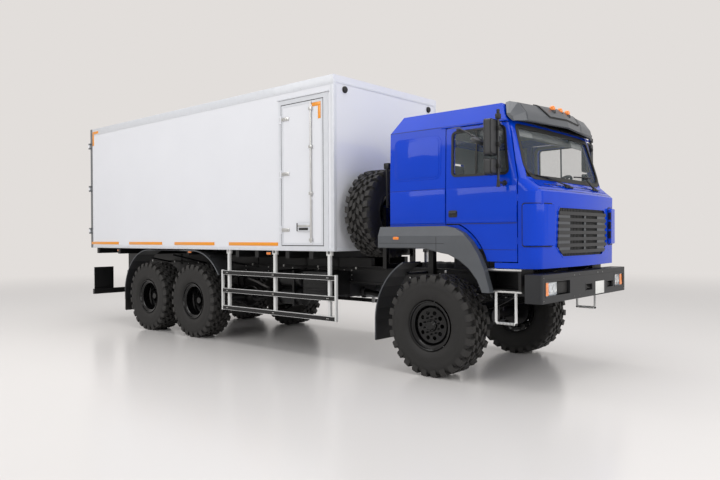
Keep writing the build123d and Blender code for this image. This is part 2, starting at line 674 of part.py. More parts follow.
GUARD_Y0, GUARD_Y1 = -1235.0, -860.0
GUARD_R = 850.0
GUARD_OUT = GUARD_R + 14.0


def arc_guard(x, start, end, steps=7):
    """A curved mudguard about an axle at x, as a band between two angles in degrees."""
    angles = [math.radians(start + (end - start) * i / (steps - 1)) for i in range(steps)]
    inner = [(x + GUARD_R * math.cos(a), HUB_Z + GUARD_R * math.sin(a)) for a in angles]
    outer = [(x + GUARD_OUT * math.cos(a), HUB_Z + GUARD_OUT * math.sin(a)) for a in angles]
    return prism_y(inner + outer[::-1], GUARD_Y0, GUARD_Y1)


front_guard = arc_guard(FRONT_AXLE_X, 118, 180)
front_guard = front_guard + block(FRONT_AXLE_X - GUARD_OUT, FRONT_AXLE_X - GUARD_R, GUARD_Y0, GUARD_Y1, 360, HUB_Z + 1)
front_guard = front_guard + bar((2990, GUARD_Y1 - 60, 1215), (2990, -RAIL_HALF, 1215), 20)
rear_guard = arc_guard(MID_AXLE_X, 33, 92) + arc_guard(REAR_AXLE_X, 88, 175)
rear_guard = rear_guard + block(REAR_AXLE_X, MID_AXLE_X, GUARD_Y0, GUARD_Y1, HUB_Z + GUARD_R, HUB_Z + GUARD_OUT)
rear_guard = rear_guard + block(
    REAR_AXLE_X - GUARD_OUT, REAR_AXLE_X - GUARD_R + 10, GUARD_Y0, GUARD_Y1, 520, HUB_Z + 90
)
save("mudguards", both(group(front_guard, rear_guard)))

# Mirrors on the doors
MIRROR_X = (4462.0, 4530.0)
MIRROR_Y = (-1420.0, -1230.0)
TUBE_X, TUBE_Y, TUBE_R = 4560.0, -1290.0, 14.0
heads = []
for z0, z1 in ((2600, 3000), (2385, 2565)):
    head = block(*MIRROR_X, *MIRROR_Y, z0, z1)
    heads.append(fillet(head.edges().filter_by(Axis.X), 30))
tube = bar((TUBE_X, TUBE_Y, 2290), (TUBE_X, TUBE_Y, 3010), TUBE_R)
foot = bar((TUBE_X, TUBE_Y, 2300), (TUBE_X, -CAB_HALF + 10, 2300), TUBE_R)
clips = [block(MIRROR_X[1] - 10, TUBE_X + 5, TUBE_Y - 20, TUBE_Y + 20, z, z + 40) for z in (2460, 2700, 2880)]
stay = bar((TUBE_X, TUBE_Y, 2975), (TUBE_X - 70, -1110, 2955), TUBE_R)
mirror_right = joined(*heads, tube, foot, stay, *clips) - outer
save("mirror_right", mirror_right)
save("mirror_left", left(mirror_right))

# Cab interior
CARPET_Z = CAB_FLOOR_Z + CAB_T
SEAT_Y = (-900.0, -435.0)
seat = block(3600, 4100, *SEAT_Y, CARPET_Z + 250, CARPET_Z + 370)
seat_back = block(3560, 3680, *SEAT_Y, CARPET_Z + 300, 2600)
seat_foot = block(3650, 4000, -820, -500, CARPET_Z, CARPET_Z + 250)
save("seats", both(seat + seat_back + seat_foot))
dash = block(4520, 4950, -1020, 1020, 2000, 2300) & cab_block(CAB_T + 1)
STEER_AT = (4400.0, 560.0, 2350.0)
column = bar((4525, STEER_AT[1], 2150), STEER_AT, 28)
wheel_plane = Plane(origin=STEER_AT, z_dir=(-0.62, 0, 0.78))
wheel_ring = wheel_plane * (Cylinder(228, 24) - Cylinder(202, 30))
spokes = wheel_plane * Box(410, 40, 14)
hub_pad = wheel_plane * Cylinder(60, 26)
save("dashboard", joined(dash, column, wheel_ring, spokes, hub_pad))

# Insulated body
side_hole = block(SIDE_DOOR_REAR - DOOR_GAP, SIDE_DOOR_FRONT + DOOR_GAP, -BOX_HALF - 5, -BOX_HALF + WALL + 5,
                  SIDE_DOOR_LOW - DOOR_GAP, SIDE_DOOR_HIGH + DOOR_GAP)
ROOF_LOW = BOX_TOP - ROOF_T
FRAME_X = BOX_REAR + 90     # front face of the rear portal frame
wall = block(FRAME_X, BOX_FRONT, -BOX_HALF, -BOX_HALF + WALL, BOX_BOTTOM, ROOF_LOW)
SIDE_HINGE = (SIDE_DOOR_REAR - 8.0, -BOX_HALF - 18.0)
SIDE_HINGE_ZS = (1808.0, 2629.0, 3433.0)
PIN_R = 12.0
right_wall = wall - side_hole
for z in SIDE_HINGE_ZS:
    for z0 in (z - 60 - END_PLAY, z + 30 + END_PLAY):
        lug = block(SIDE_HINGE[0] - 40, SIDE_HINGE[0], SIDE_HINGE[1], -BOX_HALF, z0, z0 + 30)
        right_wall = right_wall + lug + Pos(SIDE_HINGE[0], SIDE_HINGE[1], z0 + 15) * Cylinder(PIN_R, 30)
save("box_wall_right", right_wall)
save("box_wall_left", left(wall))
inner_half = BOX_HALF - WALL
save("box_floor", block(FRAME_X, BOX_FRONT - WALL, -inner_half, inner_half, BOX_BOTTOM, BOX_BOTTOM + FLOOR_T))
save("box_front_wall", block(BOX_FRONT - WALL, BOX_FRONT, -inner_half, inner_half, BOX_BOTTOM, ROOF_LOW))
save("box_roof", block(FRAME_X, BOX_FRONT, -BOX_HALF, BOX_HALF, ROOF_LOW, BOX_TOP))
portal = block(BOX_REAR, FRAME_X, -BOX_HALF, BOX_HALF, BOX_BOTTOM, BOX_TOP)
REAR_HOLE_HALF = BOX_HALF - 75
REAR_HOLE_LOW = BOX_BOTTOM + FLOOR_T
REAR_HOLE_HIGH = BOX_TOP - 110
portal = portal - block(BOX_REAR - 1, FRAME_X + 1, -REAR_HOLE_HALF, REAR_HOLE_HALF, REAR_HOLE_LOW, REAR_HOLE_HIGH)
REAR_HINGE = (BOX_REAR - 22.0, BOX_HALF + 20.0)
HINGE_ZS = (1850.0, 2720.0, 3600.0)
for z in HINGE_ZS:
    for z0 in (z - 60 - END_PLAY, z + 30 + END_PLAY):
        lug = block(REAR_HINGE[0], BOX_REAR + 30, -REAR_HINGE[1], -BOX_HALF, z0, z0 + 30)
        lug = lug + Pos(REAR_HINGE[0], -REAR_HINGE[1], z0 + 15) * Cylinder(PIN_R, 30)
        portal = portal + lug + left(lug)
save("rear_frame", portal)

# Doors of the body. Their hinge axes stand clear of the skin, so that they fold back along the walls
LEAF_X = BOX_REAR - STRAP_GAP
leaf = block(LEAF_X, FRAME_X - 10, -REAR_HOLE_HALF + DOOR_GAP, -DOOR_GAP / 2 - 1,
             REAR_HOLE_LOW + DOOR_GAP, REAR_HOLE_HIGH - DOOR_GAP)
LOCK_BAR_R = 12.0
LOCK_BAR_Y = -280.0
lock_x = LEAF_X - 14
rear_leaf = leaf + bar(
    (lock_x, LOCK_BAR_Y, REAR_HOLE_LOW + 30), (lock_x, LOCK_BAR_Y, REAR_HOLE_HIGH - 30), LOCK_BAR_R
)
for z in (REAR_HOLE_LOW + 60, REAR_HOLE_HIGH - 110):
    rear_leaf = rear_leaf + block(lock_x, LEAF_X, LOCK_BAR_Y - 20, LOCK_BAR_Y + 20, z, z + 50)
for z in HINGE_ZS:
    strap = block(LEAF_X - 12, LEAF_X, -BOX_HALF - 20, -REAR_HOLE_HALF + 160, z - 30, z + 30)
    knuckle_pin = Pos(REAR_HINGE[0], -REAR_HINGE[1], z) * Cylinder(PIN_R, 60)
    rear_leaf = rear_leaf + strap + knuckle_pin
save("rear_door_right", rear_leaf)
save("rear_door_left", left(rear_leaf))

LEAF_Y = -BOX_HALF - STRAP_GAP
side_leaf = block(SIDE_DOOR_REAR, SIDE_DOOR_FRONT, LEAF_Y, -BOX_HALF + WALL, SIDE_DOOR_LOW, SIDE_DOOR_HIGH)
bar_x = 1554.0
bar_y = LEAF_Y - 18.0
side_bar = bar((bar_x, bar_y, SIDE_DOOR_LOW + 20), (bar_x, bar_y, SIDE_DOOR_HIGH - 10), LOCK_BAR_R)
for z in (1625.0, 2250.0, 3560.0):
    side_bar = side_bar + block(bar_x - 22, bar_x + 22, bar_y, LEAF_Y, z - 20, z + 20)
latch = block(1273, 1540, LEAF_Y - 18, LEAF_Y, 1782, 1908)
side_leaf = side_leaf + side_bar + latch
for z in SIDE_HINGE_ZS:
    strap = block(SIDE_HINGE[0], SIDE_HINGE[0] + 150, LEAF_Y - 10, LEAF_Y, z - 22, z + 22)
    pin = Pos(SIDE_HINGE[0], SIDE_HINGE[1], z) * Cylinder(PIN_R, 60)
    side_leaf = side_leaf + strap + pin
save("side_door", side_leaf)

# Subframe between the frame and the body
SUB_TOP = RAIL_TOP + 120.0
sub = block(FRAME_X, BOX_FRONT, -RAIL_HALF, -RAIL_HALF + RAIL_W, RAIL_TOP, SUB_TOP)
subframe = sub + left(sub)
BEARER_XS = (-4750.0, -3900.0, -3100.0, -2050.0, -1100.0, -180.0, 300.0, 1000.0, 1500.0)
for x in BEARER_XS:
    over_wheels = REAR_AXLE_X - 900 < x < MID_AXLE_X + 780
    half = -GUARD_Y1 if over_wheels else BOX_HALF - 30
    subframe = subframe + block(x - 40, x + 40, -half, half, SUB_TOP, BOX_BOTTOM)
save("subframe", subframe)

# Side guards, rear underrun bar, spare wheel
GUARD_ZS = (530.0, 812.0, 1100.0)
GUARD_RAIL_H = 65.0
SIDE_GUARD_Y = -BOX_HALF + 25.0                 # outer face of the rails
SIDE_GUARD_REAR = MID_AXLE_X + TYRE_R + 140.0   # clears the middle wheel and its mudguard
SIDE_GUARD_FRONT = BOX_FRONT - 18.0
rail_in = SIDE_GUARD_Y + 30
side_guard = block(SIDE_GUARD_REAR, SIDE_GUARD_FRONT, SIDE_GUARD_Y, rail_in, GUARD_ZS[0], GUARD_ZS[0] + GUARD_RAIL_H)
for z in GUARD_ZS[1:]:
    side_guard = side_guard + block(SIDE_GUARD_REAR, SIDE_GUARD_FRONT, SIDE_GUARD_Y, rail_in, z, z + GUARD_RAIL_H)
for x in (SIDE_GUARD_REAR + 137, (SIDE_GUARD_REAR + SIDE_GUARD_FRONT) / 2 - 14, SIDE_GUARD_FRONT - 140):
    side_guard = side_guard + block(x - 22, x + 22, rail_in, rail_in + 40, GUARD_ZS[0], BOX_BOTTOM)
for x in (SIDE_GUARD_REAR - 5, SIDE_GUARD_FRONT):
    side_guard = side_guard + block(x, x + 25, SIDE_GUARD_Y - 5, rail_in + 5, GUARD_ZS[0] - 5, GUARD_ZS[-1] + 75)
save("side_guards", both(side_guard))

underrun = block(UNDERRUN_X, UNDERRUN_X + 60, -1200, 1200, 540, 645)
for side in (-1, 1):
    arm_in = side * (RAIL_HALF - RAIL_T - 2)
    underrun = underrun + block(UNDERRUN_X, RAIL_REAR + 200, arm_in, arm_in - side * 48, 600, RAIL_LOW)
    carrier_out = side * 1165
    underrun = underrun + block(UNDERRUN_X - 12, UNDERRUN_X, carrier_out, carrier_out - side * 420, 600, 1095)
save("underrun_bar", underrun)

# Rear tow coupling: two ears with one upright pin hole
TOW_X = -4955.0
TOW_LOW, TOW_HIGH = 1010.0, 1150.0
tow = block(RAIL_REAR - 15, RAIL_REAR, -CROSS_HALF, CROSS_HALF, RAIL_LOW, RAIL_TOP - 30)
tow = tow + block(TOW_X - 50, RAIL_REAR, -70, 70, TOW_LOW, TOW_HIGH)
tow = tow - block(TOW_X - 60, RAIL_REAR - 20, -80, 80, TOW_LOW + 35, TOW_HIGH - 35)
tow = tow - Pos(TOW_X, 0, (TOW_LOW + TOW_HIGH) / 2) * Cylinder(TOW_BORE_R, 200)
save("tow_coupling", tow)

spare_turn = Pos(SPARE_X, SPARE_Y, SPARE_Z) * Rot(0, 0, 90)
save("spare_tyre", spare_turn * TYRE)
spare_rim = spare_turn * rim(-1)
post_x = SPARE_X + TYRE_W / 2 + 30
post_w = 60.0
post_half = 330.0
carrier = block(post_x, post_x + post_w, -RAIL_HALF - 390, RAIL_HALF, RAIL_TOP, RAIL_TOP + post_w)
carrier = carrier + block(
    post_x, post_x + post_w, SPARE_Y - post_half, SPARE_Y + post_half, SPARE_Z - post_w, SPARE_Z + post_w
)
for y in (SPARE_Y - post_half, SPARE_Y + post_half - post_w):
    carrier = carrier + block(post_x, post_x + post_w, y, y + post_w, RAIL_TOP, SPARE_Z + post_w)
stub = bar((post_x, SPARE_Y, SPARE_Z), (SPARE_X - 60, SPARE_Y, SPARE_Z), RIM_BORE_R)
save("spare_carrier", carrier + stub + spare_rim)

for name, shape in NODES.items():
    export_step(shape, f"parts/{name}.step")
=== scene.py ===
"""Looks of the insulated box truck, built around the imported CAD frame. Metres, +X forward, +Y left, +Z up."""
import math

import bmesh
import bpy
from mathutils import Matrix, Vector


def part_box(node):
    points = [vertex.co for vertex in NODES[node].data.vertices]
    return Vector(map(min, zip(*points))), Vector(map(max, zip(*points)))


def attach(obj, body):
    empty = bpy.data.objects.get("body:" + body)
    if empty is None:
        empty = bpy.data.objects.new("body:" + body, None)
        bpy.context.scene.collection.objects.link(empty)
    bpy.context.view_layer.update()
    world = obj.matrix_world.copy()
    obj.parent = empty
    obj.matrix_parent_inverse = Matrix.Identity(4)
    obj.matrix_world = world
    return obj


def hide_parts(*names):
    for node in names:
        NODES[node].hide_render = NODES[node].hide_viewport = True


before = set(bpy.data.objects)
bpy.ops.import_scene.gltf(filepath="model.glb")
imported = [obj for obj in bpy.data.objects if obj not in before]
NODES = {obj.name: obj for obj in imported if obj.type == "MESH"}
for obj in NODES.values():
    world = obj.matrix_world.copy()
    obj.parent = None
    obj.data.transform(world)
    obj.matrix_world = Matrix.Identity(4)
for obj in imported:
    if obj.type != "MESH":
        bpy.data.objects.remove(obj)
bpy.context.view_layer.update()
SIDES = (("right", -1), ("left", 1))
POLE = 0.0005       # the radius at which a turned outline meets its axis


# Camera, fitted to the photograph
CAMERA_AT = Vector((8.206, -7.746, 1.712))
CAMERA_YAW = math.radians(41.397)      # turned from +Y towards -X
CAMERA_PITCH = math.radians(-0.34)
CAMERA_ROLL = math.radians(-0.295)
SENSOR = 36
CAMERA_LENS = 655.141 / 720 * SENSOR    # from the focal length and the photograph's width in pixels


def add_camera():
    a, e, r = CAMERA_YAW, CAMERA_PITCH, CAMERA_ROLL
    ahead = Vector((-math.sin(a) * math.cos(e), math.cos(a) * math.cos(e), math.sin(e)))
    right = Vector((math.cos(a), math.sin(a), 0))
    up = right.cross(ahead)
    across = right * math.cos(r) + up * math.sin(r)
    up = up * math.cos(r) - right * math.sin(r)
    data = bpy.data.cameras.new("camera")
    data.lens = CAMERA_LENS
    data.sensor_width = SENSOR
    data.clip_end = 500
    camera = bpy.data.objects.new("camera", data)
    turn = Matrix((across, up, -ahead)).transposed().to_4x4()
    camera.matrix_world = Matrix.Translation(CAMERA_AT) @ turn
    bpy.context.scene.collection.objects.link(camera)
    bpy.context.scene.camera = camera


# Materials
def srgb(r, g, b):
    """A linear colour from 8-bit display values."""
    def one(v):
        v /= 255
        return v / 12.92 if v <= 0.04045 else ((v + 0.055) / 1.055) ** 2.4
    return (one(r), one(g), one(b), 1.0)


def shade(colour, k):
    return tuple(min(1.0, c * k) for c in colour[:3]) + (1.0,)


MATERIALS = {}
MIX_A, MIX_B, MIX_RESULT = 6, 7, 2      # a mix node's sockets for colours
WORN_PALER = 3.0
WORN_EDGES = (0.52, 0.6)        # how pointed an edge is where its wear starts and is full
COAT_ROUGH = 0.04


def material(name, colour, rough, metallic=0.0, coat=0.0, vary=0.06, scale=5.0, rough_vary=0.06,
             bump=0.0, bump_scale=300.0, bump_size=0.001, edge=0.0, emission=0.0, specular=0.5):
    """A procedural finish: mottled colour, uneven gloss, fine bump and paler worn edges."""
    mat = bpy.data.materials.new(name)
    mat.use_nodes = True
    nodes, links = mat.node_tree.nodes, mat.node_tree.links
    bsdf = nodes["Principled BSDF"]
    bsdf.inputs["Metallic"].default_value = metallic
    bsdf.inputs["Coat Weight"].default_value = coat
    bsdf.inputs["Coat Roughness"].default_value = COAT_ROUGH
    bsdf.inputs["Specular IOR Level"].default_value = specular
    coord = nodes.new("ShaderNodeTexCoord")
    noise = nodes.new("ShaderNodeTexNoise")
    noise.inputs["Scale"].default_value = scale
    noise.inputs["Detail"].default_value = 5
    links.new(coord.outputs["Object"], noise.inputs["Vector"])
    ramp = nodes.new("ShaderNodeValToRGB")
    ramp.color_ramp.elements[0].position = 0.3
    ramp.color_ramp.elements[0].color = shade(colour, 1 - vary)
    ramp.color_ramp.elements[1].position = 0.7
    ramp.color_ramp.elements[1].color = shade(colour, 1 + vary)
    links.new(noise.outputs["Fac"], ramp.inputs["Fac"])
    tint = ramp.outputs["Color"]
    if edge:
        geometry = nodes.new("ShaderNodeNewGeometry")
        worn = nodes.new("ShaderNodeMapRange")
        worn.inputs["From Min"].default_value, worn.inputs["From Max"].default_value = WORN_EDGES
        worn.inputs["To Max"].default_value = edge
        links.new(geometry.outputs["Pointiness"], worn.inputs["Value"])
        mix = nodes.new("ShaderNodeMix")
        mix.data_type = "RGBA"
        links.new(worn.outputs["Result"], mix.inputs["Factor"])
        links.new(tint, mix.inputs[MIX_A])
        mix.inputs[MIX_B].default_value = shade(colour, WORN_PALER)
        tint = mix.outputs[MIX_RESULT]
    links.new(tint, bsdf.inputs["Base Color"])
    if emission:
        links.new(tint, bsdf.inputs["Emission Color"])
        bsdf.inputs["Emission Strength"].default_value = emission
    gloss = nodes.new("ShaderNodeMapRange")
    gloss.inputs["To Min"].default_value = max(0.02, rough - rough_vary)
    gloss.inputs["To Max"].default_value = min(1.0, rough + rough_vary)
    links.new(noise.outputs["Fac"], gloss.inputs["Value"])
    links.new(gloss.outputs["Result"], bsdf.inputs["Roughness"])
    if bump:
        grain = nodes.new("ShaderNodeTexNoise")
        grain.inputs["Scale"].default_value = bump_scale
        grain.inputs["Detail"].default_value = 3
        links.new(coord.outputs["Object"], grain.inputs["Vector"])
        bumps = nodes.new("ShaderNodeBump")
        bumps.inputs["Strength"].default_value = bump
        bumps.inputs["Distance"].default_value = bump_size
        links.new(grain.outputs["Fac"], bumps.inputs["Height"])
        links.new(bumps.outputs["Normal"], bsdf.inputs["Normal"])
    MATERIALS[name] = mat
    return mat


def glass(name, colour, alpha):
    """Thin tinted glass that stays light to render: partly see-through, with a clear gloss."""
    mat = material(name, colour, 0.03, rough_vary=0.01, vary=0.02, specular=0.8)
    mat.node_tree.nodes["Principled BSDF"].inputs["Alpha"].default_value = alpha


material("cab_paint", srgb(0, 62, 196), 0.2, coat=0.4, vary=0.03, scale=3.0, rough_vary=0.03, bump=0.05,
         bump_scale=9.0, bump_size=0.004, specular=0.05)
material("box_paint", srgb(231, 232, 236), 0.2, coat=0.5, vary=0.012, scale=1.3, rough_vary=0.05, bump=0.08,
         bump_scale=2.2, bump_size=0.006)
material("profile_white", srgb(214, 216, 220), 0.32, coat=0.2, vary=0.03, scale=9, bump=0.05, bump_scale=60)
material("profile_grey", srgb(120, 122, 124), 0.4, metallic=0.5, vary=0.08, scale=12, bump=0.1,
         bump_scale=180)
material("steel_bright", srgb(196, 196, 194), 0.3, metallic=0.8, vary=0.08, scale=14, bump=0.1,
         bump_scale=240)
material("steel_white", srgb(222, 222, 220), 0.35, vary=0.04, scale=12, bump=0.08, bump_scale=160)
material("rubber", srgb(33, 32, 31), 0.6, vary=0.16, scale=9, bump=0.3, bump_scale=420, bump_size=0.0012,
         edge=0.4, specular=0.35)
material("seal", srgb(16, 16, 16), 0.55, vary=0.2, scale=20, bump=0.15, bump_scale=300)
material("wheel_black", srgb(11, 11, 12), 0.2, coat=0.3, vary=0.12, scale=14, bump=0.05, bump_scale=190,
         specular=0.2)
material("chassis_black", srgb(17, 17, 18), 0.4, vary=0.25, scale=8, bump=0.2, bump_scale=130, edge=0.2,
         specular=0.35)
material("plastic_grey", srgb(80, 83, 87), 0.38, vary=0.06, scale=6, bump=0.25, bump_scale=900,
         bump_size=0.0005)
material("plastic_dark", srgb(38, 39, 41), 0.48, vary=0.1, scale=8, bump=0.25, bump_scale=900,
         bump_size=0.0005)
material("bumper_grey", srgb(40, 41, 43), 0.4, specular=0.3, vary=0.08, scale=5, bump=0.15, bump_scale=260)
material("cast", srgb(58, 58, 60), 0.6, metallic=0.3, vary=0.25, scale=10, bump=0.4, bump_scale=160)
material("alloy", srgb(150, 152, 156), 0.35, metallic=0.85, vary=0.1, scale=6, bump=0.15, bump_scale=120)
material("strip_orange", srgb(240, 150, 10), 0.35, coat=0.4, vary=0.08, scale=60, bump=0.3, bump_scale=900)
material("lamp_amber", srgb(232, 124, 16), 0.12, coat=0.8, vary=0.12, scale=40, bump=0.3, bump_scale=260,
         emission=0.15)
material("lamp_red", srgb(170, 12, 10), 0.12, coat=0.8, vary=0.15, scale=40, bump=0.3, bump_scale=260)
material("lamp_clear", srgb(205, 210, 214), 0.1, coat=0.8, vary=0.15, scale=50, bump=0.4, bump_scale=160)
material("plate_white", srgb(228, 228, 224), 0.4, coat=0.3, vary=0.03, scale=14, bump=0.05, bump_scale=90)
material("lining", srgb(150, 152, 150), 0.75, vary=0.06, scale=9, bump=0.3, bump_scale=500)
material("interior", srgb(58, 58, 60), 0.6, vary=0.08, scale=9, bump=0.3, bump_scale=600)
material("floor_alloy", srgb(150, 150, 148), 0.4, metallic=0.6, vary=0.1, scale=5, bump=0.3, bump_scale=50)
material("seat_cloth", srgb(60, 62, 66), 0.9, vary=0.15, scale=60, bump=0.5, bump_scale=700)
material("mirror_face", srgb(190, 195, 200), 0.05, metallic=1.0, vary=0.02, rough_vary=0.01)
glass("window", srgb(120, 132, 134), alpha=0.12)

NODE_FINISH = {
    "cab_paint": ("cab_shell", "cab_roof", "front_panel", "door_right", "door_left"),
    "box_paint": ("box_wall_right", "box_wall_left", "box_front_wall", "box_roof", "side_door",
                  "rear_door_right", "rear_door_left"),
    "profile_grey": ("rear_frame",),
    "plastic_grey": ("wheel_arch_flares", "sun_visor"),
    "plastic_dark": ("grille", "mirror_right", "mirror_left", "mudguards"),
    "bumper_grey": ("bumper",),
    "chassis_black": ("frame_rails", "frame_crossmembers", "front_axle", "knuckle_right",
                      "knuckle_left", "rear_axles", "springs", "propeller_shafts", "subframe",
                      "underrun_bar", "tow_coupling", "side_guards", "cab_mounts", "equipment",
                      "front_steps", "silencer"),
    "cast": ("powertrain",),
    "alloy": ("fuel_tank",),
    "wheel_black": ("spare_carrier",) + tuple(n for n in NODES if n.startswith("rim_")),
    "rubber": ("spare_tyre",) + tuple(n for n in NODES if n.startswith("tyre_")),
    "window": ("windscreen", "door_glass_right", "door_glass_left"),
    "seat_cloth": ("seats",),
    "interior": ("dashboard",),
    "floor_alloy": ("box_floor",),
    "lamp_clear": ("lamps",),
}
for finish_name, node_names in NODE_FINISH.items():
    for node_name in node_names:
        mesh = NODES[node_name].data
        mesh.materials.clear()
        mesh.materials.append(MATERIALS[finish_name])


# Mesh building
class Piece:
    """Collects simple solids in one mesh, then becomes one object that rides on a body."""

    def __init__(self):
        self.bm = bmesh.new()

    def box(self, x0, x1, y0, y1, z0, z1, bevel=0.0, segments=2):
        made = bmesh.ops.create_cube(self.bm, size=1.0)["verts"]
        centre = Vector(((x0 + x1) / 2, (y0 + y1) / 2, (z0 + z1) / 2))
        size = Vector((abs(x1 - x0), abs(y1 - y0), abs(z1 - z0)))
        for v in made:
            v.co = centre + Vector((v.co.x * size.x, v.co.y * size.y, v.co.z * size.z))
        if bevel:
            edges = list({e for v in made for e in v.link_edges})
            bmesh.ops.bevel(self.bm, geom=edges, offset=min(bevel, min(size) * 0.45), segments=segments,
                            profile=0.5, affect="EDGES")

    def rod(self, start, end, r0, r1=None, segments=20):
        start, end = Vector(start), Vector(end)
        axis = end - start
        made = bmesh.ops.create_cone(self.bm, cap_ends=True, segments=segments, radius1=r0,
                                     radius2=r0 if r1 is None else r1, depth=axis.length)["verts"]
        turn = axis.to_track_quat("Z", "Y").to_matrix().to_4x4()
        bmesh.ops.transform(self.bm, matrix=Matrix.Translation((start + end) / 2) @ turn, verts=made)

    def post(self, start, axis, end, *sizes, **options):
        """A rod along one axis, from start to where that axis reads end."""
        tip = list(start)
        tip["xyz".index(axis)] = end
        self.rod(start, tip, *sizes, **options)

    def path(self, points, radius, segments=12):
        for a, b in zip(points, points[1:]):
            self.rod(a, b, radius, segments=segments)
        for p in points[1:-1]:
            ball = bmesh.ops.create_uvsphere(self.bm, u_segments=segments, v_segments=8,
                                             radius=radius)["verts"]
            bmesh.ops.translate(self.bm, verts=ball, vec=Vector(p))

    def prism(self, outline, low, high, axis="y", bevel=0.0, segments=2):
        """An outline extruded along an axis: (x, z) points for y, (y, z) for x and (x, y) for z."""
        first = [self.bm.verts.new(upright(p, low, axis)) for p in outline]
        second = [self.bm.verts.new(upright(p, high, axis)) for p in outline]
        n = len(outline)
        faces = [self.bm.faces.new(first), self.bm.faces.new(second[::-1])]
        for i in range(n):
            faces.append(self.bm.faces.new((first[i], second[i], second[(i + 1) % n], first[(i + 1) % n])))
        bmesh.ops.recalc_face_normals(self.bm, faces=faces)
        if bevel:
            edges = list({e for f in faces for e in f.edges})
            bmesh.ops.bevel(self.bm, geom=edges, offset=bevel, segments=segments, profile=0.5,
                            affect="EDGES")

    def turned(self, profile, centre, axis="y", segments=64, flip=1):
        """A closed (radius, offset) outline turned about an axis through centre."""
        centre = Vector(centre)
        rings = []
        for i in range(segments):
            a = 2 * math.pi * i / segments
            ring = []
            for r, d in profile:
                p = upright((r * math.cos(a), r * math.sin(a)), d * flip, axis)
                ring.append(self.bm.verts.new(centre + Vector(p)))
            rings.append(ring)
        faces = []
        m = len(profile)
        for i in range(segments):
            a, b = rings[i], rings[(i + 1) % segments]
            for j in range(m):
                k = (j + 1) % m
                faces.append(self.bm.faces.new((a[j], a[k], b[k], b[j])))
        bmesh.ops.recalc_face_normals(self.bm, faces=faces)

    def done(self, name, finish_name, body="chassis", angle=35.0, replaces=(), slot=None):
        bmesh.ops.remove_doubles(self.bm, verts=self.bm.verts, dist=1e-6)
        mesh = bpy.data.meshes.new(name)
        self.bm.to_mesh(mesh)
        self.bm.free()
        mesh.materials.append(MATERIALS[finish_name])
        smoothed(mesh, angle)
        return placed(name, mesh, body, replaces)


def upright(p, d, axis):
    """A flat point p at the distance d along an axis."""
    return {"y": (p[0], d, p[1]), "x": (d, p[0], p[1]), "z": (p[0], p[1], d)}[axis]


def smoothed(mesh, angle):
    """Smooth shading, with edges sharper than the angle left crisp."""
    for polygon in mesh.polygons:
        polygon.use_smooth = True
    mesh.set_sharp_from_angle(angle=math.radians(angle))


def placed(name, mesh, body, replaces=()):
    piece = bpy.data.objects.new(name, mesh)
    bpy.context.scene.collection.objects.link(piece)
    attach(piece, body)
    if replaces:
        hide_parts(*replaces)
    return piece


def span(middle, half):
    return middle - half, middle + half


def around(count, radius, start=0.0):
    """Points evenly spaced on a circle, with start as a share of the spacing."""
    turns = (2 * math.pi * (i + start) / count for i in range(count))
    return [(radius * math.cos(a), radius * math.sin(a)) for a in turns]


def mid(node):
    low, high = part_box(node)
    return (Vector(low) + Vector(high)) / 2


# Tyres
AXLE_XS = {"front": 3.585, "middle": -1.345, "rear": -2.755}
FRONT_X, MIDDLE_X, REAR_X = AXLE_XS.values()
HUB_Z = 0.61965
TYRE_R = 0.6195
TYRE_HALF = 0.2095
PITCHES = 26
LUG_H = 0.036


def wrap(r, a, y):
    return Vector((r * math.cos(a), y, r * math.sin(a)))


def add_lug(bm, angle0, angle1, y_in, y_out, skew, side, shoulder):
    """One tread block; a shoulder block also runs down the sidewall."""
    top, foot = TYRE_R, TYRE_R - LUG_H
    inset = 0.006

    def ring(r, grow, drop_out):
        da = grow / r
        out = y_out + (drop_out if shoulder else grow)
        pts = []
        a0, a1, inner = angle0 - da, angle1 + da, y_in - grow
        for a, y in ((a0, inner), (a1, inner), (a1, out), (a0, out)):
            shift = skew * (y - y_in)
            pts.append(bm.verts.new(wrap(r, a + shift, y * side)))
        return pts

    upper = ring(top, 0.0, 0.0)
    lower = ring(foot, inset, 0.0125)
    bm.faces.new(upper)
    for i in range(4):
        j = (i + 1) % 4
        bm.faces.new((lower[i], lower[j], upper[j], upper[i]))
    if shoulder:
        deep = []
        for v in (lower[3], lower[2]):
            a = math.atan2(v.co.z, v.co.x)
            deep.append(bm.verts.new(wrap(foot - 0.05, a, (TYRE_HALF - 0.003) * side)))
        bm.faces.new((lower[3], lower[2], deep[1], deep[0]))


